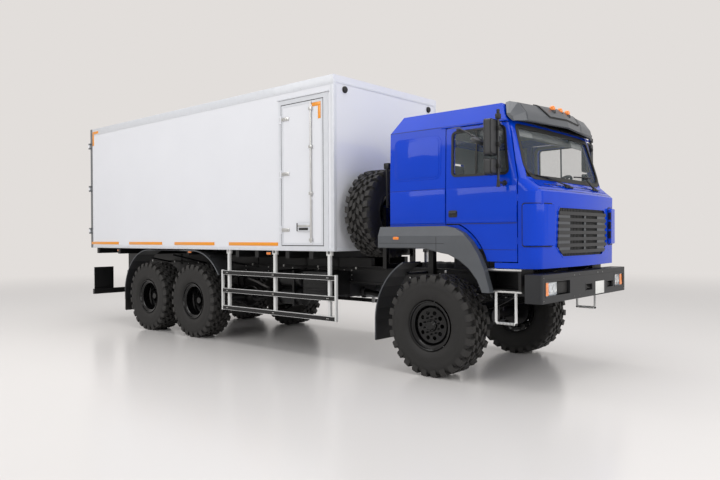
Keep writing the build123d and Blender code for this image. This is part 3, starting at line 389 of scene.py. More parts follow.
def tyre_mesh():
    """The whole tyre about the origin."""
    bm = bmesh.new()
    base = TYRE_R - LUG_H
    half = [(0.302, 0.140), (0.303, 0.163), (0.318, 0.186), (0.332, 0.196), (0.345, 0.198), (0.352, 0.202),
            (0.40, 0.2075), (0.45, 0.2085), (0.47, 0.2075), (0.476, 0.2085), (0.51, 0.206), (0.545, 0.2015),
            (0.568, 0.195), (base, 0.178), (base + 0.002, 0.12), (base + 0.003, 0.05)]
    outline = half + [(r, -d) for r, d in reversed(half)]
    rings = []
    steps = 104
    for i in range(steps):
        a = 2 * math.pi * i / steps
        rings.append([bm.verts.new(wrap(r, a, d)) for r, d in outline])
    for i in range(steps):
        a, b = rings[i], rings[(i + 1) % steps]
        for j in range(len(outline)):
            k = (j + 1) % len(outline)
            bm.faces.new((a[j], b[j], b[k], a[k]))
    pitch = 2 * math.pi / PITCHES
    # columns of blocks: inner edge, outer edge, phase, share of the pitch, skew
    columns = (
        (0.126, 0.196, 0.00, 0.52, -0.25, True),
        (0.068, 0.116, 0.26, 0.58, 0.9, False),
        (0.012, 0.058, 0.52, 0.58, 0.9, False),
    )
    for side in (-1, 1):
        for i in range(PITCHES):
            for y_in, y_out, phase, share, skew, shoulder in columns:
                offset = 0.5 if side > 0 else 0.0
                a = (i + phase + offset) * pitch
                add_lug(bm, a, a + pitch * share, y_in, y_out, skew, side, shoulder)
    bmesh.ops.recalc_face_normals(bm, faces=bm.faces)
    mesh = bpy.data.meshes.new("tyre_tread")
    bm.to_mesh(mesh)
    bm.free()
    mesh.materials.append(MATERIALS["rubber"])
    smoothed(mesh, 32)
    return mesh


def add_tyres():
    tread = tyre_mesh()
    spots = {}
    for k, axle in enumerate(AXLE_XS):
        for side, s in SIDES:
            turn = Matrix.Rotation(0.4 * k + 0.2 * s, 4, "Y")
            spots[f"{axle}_{side}"] = (f"tyre_{axle}_{side}", turn, f"wheel_{axle}_{side}")
    spots["spare"] = ("spare_tyre", Matrix.Rotation(math.pi / 2, 4, "Z"), "chassis")
    for spot, (node, turn, body) in spots.items():
        mesh = tread.copy()
        mesh.transform(Matrix.Translation(mid(node)) @ turn)
        placed(f"tread_{spot}", mesh, body, (node,))


# Rims
HOLES, HOLE_RING, HOLE_R = 10, 0.158, 0.0265
STUD_RING, CAP_RING = 0.107, 0.066
# (radius, offset outboard) points of a disc's face, the offset where it meets the barrel, and its back
RIM_SHAPES = {
    "dome": ([(0.075, 0.139), (0.15, 0.142), (0.215, 0.130), (0.238, 0.100)], 0.11,
             [(0.228, 0.090), (0.205, 0.118), (0.15, 0.130), (0.075, 0.127)]),
    "dish": ([(0.075, -0.030), (0.19, -0.030), (0.222, -0.022), (0.238, 0.010)], 0.02,
             [(0.228, 0.0), (0.215, -0.040), (0.19, -0.044), (0.075, -0.044)]),
}
BARREL = [(0.245, 0.145), (0.262, 0.158), (0.281, 0.166), (0.287, 0.184), (0.2995, 0.188), (0.2998, 0.172),
          (0.2600, 0.160), (0.258, -0.155), (0.2998, -0.166), (0.2998, -0.176), (0.25, -0.160),
          (0.246, -0.10)]


def cut_holes(piece, y0, y1, centre):
    """The ring of round holes through a disc, made with one boolean."""
    cutter = Piece()
    for u, v in around(HOLES, HOLE_RING):
        cutter.post((centre.x + u, y0, centre.z + v), "y", y1, HOLE_R)
    mesh = bpy.data.meshes.new("cutter")
    cutter.bm.to_mesh(mesh)
    cutter.bm.free()
    tool = bpy.data.objects.new("cutter", mesh)
    bpy.context.scene.collection.objects.link(tool)
    boolean = piece.modifiers.new("holes", "BOOLEAN")
    boolean.object = tool
    boolean.solver = "EXACT"
    bpy.context.view_layer.update()
    evaluated = piece.evaluated_get(bpy.context.evaluated_depsgraph_get())
    result = bpy.data.meshes.new_from_object(evaluated)
    piece.modifiers.clear()
    piece.data = result
    bpy.data.objects.remove(tool)
    smoothed(result, 30)


def add_rims():
    for axle in AXLE_XS:
        dome = axle == "front"
        face_out, meet, back_in = RIM_SHAPES["dome" if dome else "dish"]
        face = 0.142 if dome else -0.030
        reach = 0.185 if dome else 0.075
        hole_from, hole_to = (0.05, 0.16) if dome else (-0.08, 0.0)
        for side, s in SIDES:
            centre = mid(f"tyre_{axle}_{side}")
            body = f"wheel_{axle}_{side}"
            disc = Piece()
            disc.turned(face_out + [(0.244, meet)] + BARREL + back_in, centre, segments=72, flip=s)
            piece = disc.done(f"wheel_disc_{axle}_{side}", "wheel_black", body,
                              replaces=(f"rim_{axle}_{side}",), slot="wheel_steel")
            cut_holes(piece, centre.y + s * hole_from, centre.y + s * hole_to, centre)
            hub = Piece()
            hub.turned([(POLE, face - 0.10), (0.112, face - 0.10), (0.112, face - 0.012),
                        (0.075, face - 0.010), (0.075, face + 0.012), (0.069, face + 0.02),
                        (0.058, face + 0.022), (0.056, reach - 0.018), (0.050, reach - 0.010),
                        (POLE, reach - 0.010)], centre, segments=48, flip=s)
            y = centre.y + s * face
            for u, v in around(10, STUD_RING, 0.5):
                foot = (centre.x + u, y, centre.z + v)
                hub.post(foot, "y", y + s * 0.018, 0.013, segments=6)
                hub.post(foot, "y", y + s * 0.032, 0.0065, segments=8)
            y = centre.y + s * (face + 0.018)
            for u, v in around(8, CAP_RING):
                hub.post((centre.x + u, y, centre.z + v), "y", y + s * 0.010, 0.007, segments=6)
            hub.done(f"hub_{axle}_{side}", "wheel_black", body, slot="wheel_steel")


# Outlines
def rounded(points, radius, steps=6):
    """A closed outline with its corners rounded."""
    out = []
    n = len(points)
    for i, p in enumerate(points):
        p = Vector(p)
        before = (Vector(points[i - 1]) - p).normalized()
        after = (Vector(points[(i + 1) % n]) - p).normalized()
        half = before.angle(after) / 2
        r = radius[i] if isinstance(radius, (list, tuple)) else radius
        if r <= 0:
            out.append(tuple(p))
            continue
        centre = p + (before + after).normalized() * (r / math.sin(half))
        start = p + before * (r / math.tan(half)) - centre
        end = p + after * (r / math.tan(half)) - centre
        turn = start.angle_signed(end)
        for k in range(steps + 1):
            a = -turn * k / steps
            out.append((centre.x + start.x * math.cos(a) - start.y * math.sin(a),
                        centre.y + start.x * math.sin(a) + start.y * math.cos(a)))
    return out


def rectangle(a0, a1, b0, b1):
    return [(a0, b0), (a1, b0), (a1, b1), (a0, b1)]


def dense(points, step=0.06):
    """An outline with extra points, so that it can follow a curved skin."""
    out = []
    for i, p in enumerate(points):
        q = Vector(points[(i + 1) % len(points)])
        p = Vector(p)
        count = max(1, math.ceil((q - p).length / step))
        out.extend(tuple(p.lerp(q, k / count)) for k in range(count))
    return out


def grown(points, by):
    """An outline moved outwards from its middle, side by side."""
    n = len(points)
    area = sum(p[0] * q[1] - q[0] * p[1] for p, q in zip(points, points[1:] + points[:1]))
    sign = 1 if area > 0 else -1
    out = []
    for i in range(n):
        a, p, b = (Vector(points[j % n]) for j in (i - 1, i, i + 1))
        d0, d1 = (p - a).normalized(), (b - p).normalized()
        n0, n1 = Vector((d0.y, -d0.x)) * sign, Vector((d1.y, -d1.x)) * sign
        m = (n0 + n1).normalized()
        out.append(tuple(p + m * (by / max(0.3, m.dot(n0)))))
    return out


def ring_between(piece, outer, inner, low, high, axis="y"):
    """A flat frame between two outlines with equally many points."""
    bm = piece.bm
    rows = [[bm.verts.new(upright(p, d, axis)) for p in outline] for outline, d in
            ((outer, low), (outer, high), (inner, high), (inner, low))]
    n = len(outer)
    faces = []
    for k in range(4):
        a, b = rows[k], rows[(k + 1) % 4]
        faces.extend(bm.faces.new((a[i], a[(i + 1) % n], b[(i + 1) % n], b[i])) for i in range(n))
    bmesh.ops.recalc_face_normals(bm, faces=faces)


# The cab's skin, from which everything on it is placed
CAB_HALF = 1.150
LEAN_FROM, LEAN = 2.345, 0.0222
CAB_SECTIONS = (   # height, front x at the middle, half width, plan radius of the corners
    (1.340, 4.998, 1.150, 0.160),
    (2.200, 5.005, 1.150, 0.160),
    (2.345, 4.835, 1.150, 0.140),
    (3.020, 4.635, 1.135, 0.110),
)
BOW = 0.045


def cab_front(y, z):
    """The x of the cab's front skin."""
    z = max(CAB_SECTIONS[0][0], min(CAB_SECTIONS[-1][0], z))
    for low, high in zip(CAB_SECTIONS, CAB_SECTIONS[1:]):
        if z <= high[0]:
            break
    t = (z - low[0]) / (high[0] - low[0])
    front, half, corner = (low[k] + (high[k] - low[k]) * t for k in (1, 2, 3))
    flat = half - corner
    y = abs(y)
    if y <= flat:
        return front - BOW * (y / flat) ** 2
    over = min(corner, y - flat)
    return front - BOW - corner + math.sqrt(max(0.0, corner ** 2 - over ** 2))


def wrap_front(piece):
    """Moves a piece drawn flat at x = 0 onto the cab's front."""
    for v in piece.bm.verts:
        v.co.x += cab_front(v.co.y, v.co.z)
    return piece


def lean_side(piece):
    """Leans a piece drawn on the cab's upright side with the skin above the waist."""
    for v in piece.bm.verts:
        v.co.y -= math.copysign(max(0.0, v.co.z - LEAN_FROM) * LEAN, v.co.y)
    return piece


# Cab: seams, pressings, seals and handles
CAB_REAR = 2.915
DOOR_REAR, DOOR_FRONT = 3.775, 4.712
WINDOW = [(3.863, 2.424), (4.603, 2.410), (4.548, 2.945), (3.863, 2.936)]
WINDOW_BAR_X = 4.19
NOSE_SEAM = 2.225
WAIST_SEAM = 1.850
SCREEN = [(-1.050, 2.365), (1.050, 2.365), (0.985, 2.965), (-0.985, 2.965)]


def add_cab_sides():
    for side_name, s in SIDES:
        y = s * CAB_HALF
        door = f"door_{side_name}"
        window = rounded(WINDOW, 0.045)
        seal = Piece()
        outer, inner = grown(window, 0.016), grown(window, -0.012)
        ring_between(seal, outer, inner, y - s * 0.012, y + s * 0.005)
        seal.box(*span(WINDOW_BAR_X, 0.011), y - s * 0.004, y + s * 0.003, 2.42, 2.94, 0.003)
        lean_side(seal).done(f"window_seal_{side_name}", "seal", door)

        press = Piece()
        for grow, out in ((0.0, 0.004), (-0.028, 0.009)):
            outline = grown(rounded(rectangle(2.985, 3.700, 2.400, 2.930), 0.085, 8), grow)
            press.prism(outline, y - s * 0.006, y + s * out, bevel=0.003)
        lean_side(press).done(f"side_pressing_{side_name}", "cab_paint", "cab")

        rear, front = CAB_REAR + 0.004, DOOR_REAR - 0.014
        crease = Piece()
        crease.box(rear, front, y - s * 0.002, y + s * 0.001, *span(WAIST_SEAM, 0.002))
        crease.box(rear, front, y - s * 0.002, y + s * 0.001, 2.276, 2.279)
        crease.done(f"side_seam_{side_name}", "seal", "cab")
        sill = Piece()
        sill.box(DOOR_REAR + 0.01, DOOR_FRONT - 0.004, y - s * 0.002, y + s * 0.003,
                 *span(WAIST_SEAM, 0.0035))
        sill.box(4.262, DOOR_FRONT - 0.004, y - s * 0.002, y + s * 0.001, 1.548, 1.552)
        sill.done(f"door_seam_{side_name}", "seal", door)
        for name, x0, x1, body in (("door", DOOR_REAR + 0.002, DOOR_FRONT - 0.002, door),
                                   ("rear", CAB_REAR + 0.002, front, "cab")):
            panel = Piece()
            panel.box(x0, x1, y - s * 0.01, y + s * 0.008, 1.862, 2.272, 0.007, 3)
            panel.done(f"{name}_panel_{side_name}", "cab_paint", body)

        dish = Piece()
        dish.prism(rounded(rectangle(3.812, 3.937, 1.928, 2.012), 0.02), y + s * 0.004, y + s * 0.0095,
                   bevel=0.001)
        dish.done(f"handle_dish_{side_name}", "seal", door)
        grip = Piece()
        grip.box(3.822, 3.928, y + s * 0.012, y + s * 0.026, 1.972, 1.998, 0.006, 3)
        grip.post((3.835, y + s * 0.006, 1.985), "y", y + s * 0.016, 0.008)
        grip.post((3.915, y + s * 0.006, 1.985), "y", y + s * 0.016, 0.008)
        grip.post((3.872, y + s * 0.006, 1.945), "y", y + s * 0.012, 0.009)
        grip.done(f"handle_{side_name}", "plastic_dark", door)

        gutter = Piece()
        gutter.box(3.70, 4.60, s * 1.128, s * 1.146, 3.000, 3.018, 0.006, 3)
        gutter.done(f"rain_gutter_{side_name}", "cab_paint", "cab")
        roof_seam = Piece()
        roof_seam.box(CAB_REAR + 0.002, 4.575, s * 1.132, s * 1.1355, 3.017, 3.023)
        roof_seam.done(f"roof_seam_{side_name}", "seal", "cab")

        shut = Piece()
        shut.box(DOOR_REAR - 0.0115, DOOR_REAR - 0.0005, s * 1.095, s * 1.128, 1.84, 2.99)
        shut.box(DOOR_FRONT + 0.0005, DOOR_FRONT + 0.0115, s * 1.095, s * 1.128, 1.42, 2.2)
        shut.done(f"door_rubber_{side_name}", "seal", "cab")


WIPERS = (   # (y, z) of the pivot and of the blade's two ends
    ((-0.27, 2.286), (-0.996, 2.404), (-0.30, 2.352)),
    ((0.57, 2.292), (0.133, 2.432), (0.734, 2.457)),
)


def add_wipers():
    def on(p, out):
        return Vector((cab_front(*p) + out, p[0], p[1]))
    wipers = Piece()
    for pivot, tip, heel in WIPERS:
        wipers.rod(on(pivot, -0.004), on(pivot, 0.036), 0.024, 0.017)
        for reach in (-0.085, 0.10):
            boot_end = on((pivot[0] + reach, pivot[1] - 0.012), 0.010)
            wipers.rod(on(pivot, 0.014), boot_end, 0.021, 0.012, 12)
        middle = Vector(tip).lerp(Vector(heel), 0.5)
        joint = Vector(pivot).lerp(middle, 0.25)
        wipers.rod(on(pivot, 0.028), on(joint, 0.036), 0.016, 0.011, 10)
        wipers.rod(on(joint, 0.036), on(middle, 0.024), 0.009, 0.006, 8)
        blade = [Vector(tip).lerp(Vector(heel), k / 10) for k in range(11)]
        for a, b in zip(blade, blade[1:]):
            wipers.rod(on(a, 0.005), on(b, 0.005), 0.008, segments=6)
        for k in (2, 5, 8):
            wipers.rod(on(blade[k], 0.004), on(blade[k], 0.022), 0.006, segments=6)
        wipers.rod(on(blade[2], 0.020), on(blade[8], 0.020), 0.005, segments=6)
    wipers.done("wipers", "seal", "cab")


GRILLE_LOW, GRILLE_PITCH = 1.5400, 0.0740      # the lowest gap between the bars
GRILLE_GAP, GRILLE_GAPS = 0.0340, 6
GRILLE_OPEN = 0.40      # the gaps are blanked further out than this


def add_cab_front():
    seal = Piece()
    screen = dense(rounded(SCREEN, [0.16, 0.16, 0.05, 0.05], 10), 0.06)
    ring_between(seal, grown(screen, 0.022), grown(screen, -0.030), -0.013, 0.005, "x")
    wrap_front(seal).done("screen_seal", "seal", "cab")
    corner = Piece()
    for s in (-1, 1):
        outline = [(s * 1.040, 2.375), (s * 0.87, 2.375), (s * 0.94, 2.42), (s * 1.01, 2.50),
                   (s * 1.033, 2.54)]
        corner.prism(outline, -0.012, -0.006, "x")
    wrap_front(corner).done("screen_corners", "seal", "cab")

    seam = Piece()
    seam.prism(dense(rectangle(-1.12, 1.12, *span(NOSE_SEAM, 0.003)), 0.04), -0.004, 0.0012, "x")
    for s in (-1, 1):
        line = rectangle(s * 0.74, s * 0.835, *span(WAIST_SEAM, 0.002))
        seam.prism(dense(line, 0.04), -0.004, 0.001, "x")
    wrap_front(seam).done("nose_seams", "seal", "cab")

    cowl = Piece()
    cowl.prism(dense(rounded(rectangle(-0.98, 0.98, 2.262, 2.330), 0.02), 0.05), -0.006, 0.006, "x")
    wrap_front(cowl).done("cowl", "cab_paint", "cab")
    slots = Piece()
    for i in range(-9, 10):
        slot = rounded(rectangle(*span(i * 0.088, 0.03), 2.286, 2.296), 0.004, 3)
        slots.prism(slot, 0.003, 0.0068, "x")
    wrap_front(slots).done("cowl_slots", "seal", "cab")

    add_wipers()
    frame_ring = Piece()
    grille = [(-0.722, 1.575), (-0.575, 1.462), (0.575, 1.462), (0.722, 1.575), (0.690, 1.990),
              (0.655, 2.030), (-0.655, 2.030), (-0.690, 1.990)]
    outline = dense(grille, 0.05)
    ring_between(frame_ring, grown(outline, 0.010), grown(outline, -0.006), -0.01, 0.004, "x")
    wrap_front(frame_ring).done("grille_edge", "cab_paint", "cab")
    mesh_back = Piece()
    for i in range(-17, 18):
        y = i * 0.04
        low = 1.47 + max(0.0, abs(y) - 0.575) * 0.77
        mesh_back.box(-0.016, -0.010, *span(y, 0.004), low, 2.02)
    wrap_front(mesh_back).done("grille_mesh", "seal", "cab")
    blanks = Piece()
    for i in range(GRILLE_GAPS):
        z = GRILLE_LOW + GRILLE_PITCH * i
        outer = min(0.700, 0.575 + max(0.0, z - 1.462) * 1.3) - 0.012
        for s in (-1, 1):
            blank = rectangle(s * GRILLE_OPEN, s * outer, z, z + GRILLE_GAP)
            blanks.prism(dense(blank, 0.05), -0.012, 0.003, "x")
        blanks.prism(rectangle(-0.022, 0.022, z, z + GRILLE_GAP), -0.012, 0.006, "x")
    wrap_front(blanks).done("grille_blanks", "plastic_grey", "cab")


COVER = (-0.172, 0.264, 1.590, 2.060)     # along the plan outline from where the corner starts, and height
COVER_ROUND = 0.030
COVER_EDGE = 0.012      # how far in from its edge a cover rises
COVER_PROUD, COVER_TAPER = 0.048, 0.023
COVER_SUNK = 0.005


def corner_point(side, along, z, out):
    """A point off the cab's front corner, by the distance along its plan outline."""
    front, half, corner = CAB_SECTIONS[0][1] - BOW, CAB_HALF, CAB_SECTIONS[0][3]
    quarter = corner * math.pi / 2
    if along < 0:
        y = half - corner + along
        return Vector((cab_front(y, z) + out, side * y, z))
    a = min(along, quarter) / corner
    x = front - corner + (corner + out) * math.cos(a) - max(0.0, along - quarter)
    return Vector((x, side * (half - corner + (corner + out) * math.sin(a)), z))


def finer_ends(t):
    """Spreads even steps from 0 to 1 unevenly, with the finest by the edges and the middle."""
    return t - 0.045 * math.sin(4 * math.pi * t)


def add_corner_covers():
    """The raised covers round the cab's front corners, with slots in the end that faces the grille."""
    a0, a1, z0, z1 = COVER
    columns, rows = 46, 40
    for side_name, side in SIDES:
        def height(along, z):
            u = max(a0 + COVER_ROUND - along, along - a1 + COVER_ROUND, 0.0)
            v = max(z0 + COVER_ROUND - z, z - z1 + COVER_ROUND, 0.0)
            if u and v:
                inside = COVER_ROUND - math.hypot(u, v)
            else:
                inside = min(along - a0, a1 - along, z - z0, z1 - z)
            t = max(0.0, min(1.0, inside / COVER_EDGE))
            proud = COVER_PROUD - COVER_TAPER * (along - a0) / (a1 - a0)
            return (proud + COVER_SUNK) * math.sin(t * math.pi / 2) ** 0.7 - COVER_SUNK

        cover = Piece()
        grids = []
        for solid in (1, 0):
            grid = []
            for i in range(columns + 1):
                u = i / columns
                along = a0 + (a1 - a0) * finer_ends(u)
                row = []
                for k in range(rows + 1):
                    v = k / rows
                    z = z0 + (z1 - z0) * finer_ends(v)
                    row.append(corner_point(side, along, z, height(along, z) if solid else -0.008))
                grid.append(row)
            grids.append(grid)
        patch(cover, *grids)
        cover.done(f"corner_cover_{side_name}", "cab_paint", "cab")
        # A seam round each cover, partly the joint where the cover meets the skin; its near-black colour is
        # painted shade along the cover's raised edge.
        seam = Piece()
        edge = dense(rounded(rectangle(a0 - 0.004, a1 + 0.004, z0 - 0.004, z1 + 0.004), COVER_ROUND), 0.02)
        seam.path([corner_point(side, along, z, 0.0) for along, z in edge + edge[:1]], 0.0065, 6)
        seam.done(f"corner_seam_{side_name}", "seal", "cab")
        slots = Piece()
        for k in range(3):
            z = 1.665 + k * 0.122
            x = cab_front(0.83, z)
            slots.box(x + 0.009, x + 0.045, side * 0.8160, side * 0.8360, z, z + 0.096, 0.006)
        slots.done(f"corner_slots_{side_name}", "seal", "cab")


VISOR = (   # y, then (x, z) along the outside from the roof over the ridge to the lip
    (0.0, ((4.400, 3.252), (4.550, 3.288), (4.680, 3.262), (4.780, 3.130), (4.812, 3.030))),
    (0.930, ((4.458, 3.252), (4.500, 3.262), (4.610, 3.232), (4.700, 3.110), (4.722, 3.012))),
    (1.100, ((4.562, 3.092), (4.575, 3.095), (4.600, 3.085), (4.640, 3.045), (4.650, 3.000))),
)


def on_visor(y, along, out=0.0):
    """A point on the visor's outside: along counts its outline's corners, from the roof to the lip."""
    for low, high in zip(VISOR, VISOR[1:]):
        if abs(y) <= high[0]:
            break
    t = (abs(y) - low[0]) / (high[0] - low[0])
    k = min(3, int(along))
    u = along - k
    ends = []
    for corner in (k, k + 1):
        ends.append(Vector(low[1][corner]).lerp(Vector(high[1][corner]), t))
    run = (ends[1] - ends[0]).normalized()
    p = ends[0].lerp(ends[1], u) + Vector((-run.y, run.x)) * out
    return Vector((p.x, y, p.y))


def patch(piece, outer, inner):
    """A thin closed shell between two grids of points."""
    bm = piece.bm
    grids = [[[bm.verts.new(p) for p in row] for row in grid] for grid in (outer, inner)]
    rows, cols = len(outer), len(outer[0])
    faces = []
    for grid in grids:
        for i in range(rows - 1):
            for j in range(cols - 1):
                faces.append(bm.faces.new((grid[i][j], grid[i + 1][j], grid[i + 1][j + 1], grid[i][j + 1])))
    rim = [(0, j) for j in range(cols)] + [(i, cols - 1) for i in range(1, rows)]
    rim += [(rows - 1, j) for j in range(cols - 2, -1, -1)] + [(i, 0) for i in range(rows - 2, 0, -1)]
    for n, (i, j) in enumerate(rim):
        k, m = rim[(n + 1) % len(rim)]
        faces.append(bm.faces.new((grids[0][i][j], grids[0][k][m], grids[1][k][m], grids[1][i][j])))
    bmesh.ops.recalc_face_normals(bm, faces=faces)


def visor_patch(piece, left, right, top, low, out, steps=14):
    """A plate on the visor between two sloping ends, each given as (y at the top, y below)."""
    grids = []
    for lift in (out, -0.003):
        grid = []
        for i in range(steps + 1):
            t = i / steps
            row = []
            for k in range(7):
                u = k / 6
                y0 = left[0] + (left[1] - left[0]) * u
                y1 = right[0] + (right[1] - right[0]) * u
                row.append(on_visor(y0 + (y1 - y0) * t, top + (low - top) * u, lift))
            grid.append(row)
        grids.append(grid)
    patch(piece, *grids)


def add_visor():
    """The overlay on the visor's middle with its grooves, the lamps on its ridge and the dark underside."""
    plate = Piece()
    visor_patch(plate, (-0.52, -0.40), (0.52, 0.40), 1.6, 3.02, 0.011)
    visor_patch(plate, (-0.90, -0.90), (-0.60, -0.47), 2.06, 3.9, 0.004)
    visor_patch(plate, (0.60, 0.47), (0.90, 0.90), 2.06, 3.9, 0.004)
    plate.done("visor_plates", "plastic_grey", "cab")
    groove = Piece()
    visor_patch(groove, (-0.545, -0.425), (-0.515, -0.395), 1.7, 3.06, 0.0125, 2)
    visor_patch(groove, (0.515, 0.395), (0.545, 0.425), 1.7, 3.06, 0.0125, 2)
    visor_patch(groove, (-0.41, -0.41), (0.41, 0.41), 3.02, 3.2, 0.0035)
    groove.done("visor_grooves", "seal", "cab")
    under = Piece()
    for s in (-1, 1):
        outline = [(4.560, 3.160), (4.640, 3.078), (4.700, 3.000), (4.690, 2.998), (4.600, 3.024)]
        under.prism(outline, s * 0.02, s * 0.92)
    under.done("visor_underside", "seal", "cab")
    base = Piece()
    dome = Piece()
    for y in (-0.21, 0.0, 0.21):
        at = Vector((4.690, y, 3.250))
        base.turned([(POLE, -0.02), (0.044, -0.02), (0.044, 0.006), (0.038, 0.012), (POLE, 0.012)],
                    at - Vector((0, 0, 0.034)), "z", 28)
        arc = [(0.0375 * math.cos(a), 0.0375 * math.sin(a)) for a in (math.pi / 14 * k for k in range(-6,
                                                                                                      7))]
        dome.turned([(POLE, -0.0375)] + arc + [(POLE, 0.0375)], at, "z", 28)
    base.done("roof_lamp_bases", "plastic_dark", "cab")
    dome.done("roof_lamp_lenses", "lamp_amber", "cab")


MIRRORS = ((2.600, 3.000), (2.385, 2.565))      # low and high edge of each


def add_mirrors():
    for side_name, s in SIDES:
        door = f"door_{side_name}"
        face = Piece()
        trim = Piece()
        for z0, z1 in MIRRORS:
            glass_edge = rounded(rectangle(s * 1.245, s * 1.405, z0 + 0.015, z1 - 0.015), 0.022)
            face.prism(glass_edge, 4.4580, 4.4615, "x", bevel=0.0005)
            edge = rounded(rectangle(s * 1.230, s * 1.420, z0, z1), 0.028)
            ring_between(trim, grown(edge, 0.003), grown(edge, -0.012), 4.452, 4.464, "x")
            cover = rounded(rectangle(s * 1.238, s * 1.412, z0 + 0.008, z1 - 0.008), 0.035)
            trim.prism(cover, 4.520, 4.548, "x", bevel=0.012, segments=3)
        face.done(f"mirror_glass_{side_name}", "mirror_face", door)
        trim.done(f"mirror_shell_{side_name}", "plastic_dark", door)
        clamp = Piece()
        for z in (2.48, 2.72, 2.90):
            clamp.box(4.538, 4.584, s * 1.268, s * 1.312, *span(z, 0.025), 0.006)
            clamp.post((4.584, s * 1.29, z), "x", 4.592, 0.009, segments=6)
        clamp.post((4.560, s * 1.29, 2.250), "z", 2.330, 0.022, 0.016)
        clamp.post((4.560, s * 1.170, 2.300), "y", s * 1.146, 0.024, 0.034)
        clamp.done(f"mirror_clamps_{side_name}", "seal", door)
        clamp = Piece()
        clamp.box(4.535, 4.585, s * 1.262, s * 1.318, 3.000, 3.060, 0.008)
        clamp.box(4.545, 4.575, s * 1.272, s * 1.308, 3.055, 3.110, 0.010)
        clamp.done(f"mirror_top_clamp_{side_name}", "seal", door)
    bowl = Piece()
    profile = [(POLE, -0.010), (0.082, -0.010), (0.090, 0.0), (0.078, 0.030), (0.045, 0.048), (POLE, 0.053)]
    bowl.turned(profile, (0, 0, 0), "z", 36)
    turn = Matrix.Translation((4.275, -1.262, 2.775)) @ Matrix.Rotation(math.radians(28), 4, "Y")
    bmesh.ops.transform(bowl.bm, matrix=turn, verts=bowl.bm.verts)
    bowl.path([(4.270, -1.262, 2.82), (4.15, -1.255, 2.895), (4.03, -1.235, 2.955), (3.96, -1.160, 2.965),
               (3.95, -1.130, 2.965)], 0.0095)
    bowl.box(3.92, 3.98, -1.150, -1.132, 2.950, 2.982, 0.004)
    bowl.done("kerb_mirror", "plastic_dark", "door_right")
    face = Piece()
    face.turned([(POLE, -0.013), (0.078, -0.0115), (0.078, -0.0095), (POLE, -0.0095)], (0, 0, 0), "z", 36)
    bmesh.ops.transform(face.bm, matrix=turn, verts=face.bm.verts)
    face.done("kerb_mirror_glass", "mirror_face", "door_right")


# Insulated body
BOX_REAR, BOX_FRONT = -4.990, 1.985
BOX_HALF = 1.225
BOX_LOW, BOX_TOP = 1.502, 3.944
SIDE_DOOR = (0.927, 1.782, 1.585, 3.637)      # x0, x1, z0, z1 of the leaf
STRIP_Z = (1.573, 1.624)
MARKER_XS = (-3.94, -1.52, 0.56)
STRIPS = ((-4.957, -3.860), (-3.457, -2.311), (-1.909, -0.743), (-0.353, 0.831))


def add_body_trim():
    for side_name, s in SIDES:
        y = s * BOX_HALF
        rails = Piece()
        rails.box(BOX_REAR + 0.092, BOX_FRONT, y - s * 0.002, y + s * 0.005, 3.812, BOX_TOP - 0.002, 0.004)
        rails.box(BOX_REAR + 0.092, BOX_FRONT, y - s * 0.05, y - s * 0.001, BOX_TOP - 0.003, BOX_TOP, 0.001)
        rails.box(BOX_REAR + 0.092, BOX_FRONT, y - s * 0.002, y + s * 0.005, BOX_LOW, BOX_LOW + 0.052, 0.004)
        rails.box(BOX_FRONT - 0.055, BOX_FRONT + 0.003, y - s * 0.003, y + s * 0.0045, BOX_LOW + 0.052,
                  3.812, 0.0035)
        rails.box(BOX_FRONT - 0.001, BOX_FRONT + 0.004, y - s * 0.055, y, BOX_LOW, 3.86, 0.003)
        rails.done(f"body_profiles_{side_name}", "profile_white")
        strips = Piece()
        for x0, x1 in STRIPS:
            strips.box(x0, x1, y, y + s * 0.0068, *STRIP_Z, 0.001)
        strips.box(BOX_REAR + 0.10, BOX_REAR + 0.34, y, y + s * 0.0068, 3.835, 3.886, 0.001)
        strips.box(BOX_REAR + 0.10, BOX_REAR + 0.151, y, y + s * 0.0068, 3.60, 3.835, 0.001)
        strips.done(f"marker_tape_{side_name}", "strip_orange")
        rivets = Piece()
        for i in range(48):
            x = BOX_REAR + 0.2 + i * 0.1425
            for z in (3.835, 1.522):
                rivets.post((x, y + s * 0.004, z), "y", y + s * 0.0072, 0.006, 0.004, 8)
        rivets.done(f"body_rivets_{side_name}", "steel_bright")
        markers = Piece()
        brackets = Piece()
        for x in MARKER_XS:
            markers.box(*span(x, 0.045), s * 1.172, s * 1.188, 1.438, 1.474, 0.006)
            brackets.box(*span(x, 0.055), s * 1.155, s * 1.174, 1.432, BOX_LOW + 0.004, 0.003)
        markers.done(f"side_markers_{side_name}", "lamp_amber")
        brackets.done(f"side_marker_brackets_{side_name}", "chassis_black")
    ends = Piece()
    for y in (-1.0, 1.0):
        ends.turned([(POLE, 0), (0.048, 0), (0.048, 0.014), (0.040, 0.026), (POLE, 0.030)],
                    (BOX_FRONT, y, 3.76), "x", 28)
    ends.done("front_marker_lamps", "seal")
    face = Piece()
    face.box(BOX_FRONT - 0.001, BOX_FRONT + 0.004, -1.17, 1.17, 3.83, 3.86, 0.002)
    face.box(BOX_FRONT - 0.001, BOX_FRONT + 0.004, -1.17, 1.17, BOX_LOW, BOX_LOW + 0.05, 0.002)
    face.done("front_wall_profiles", "profile_white")


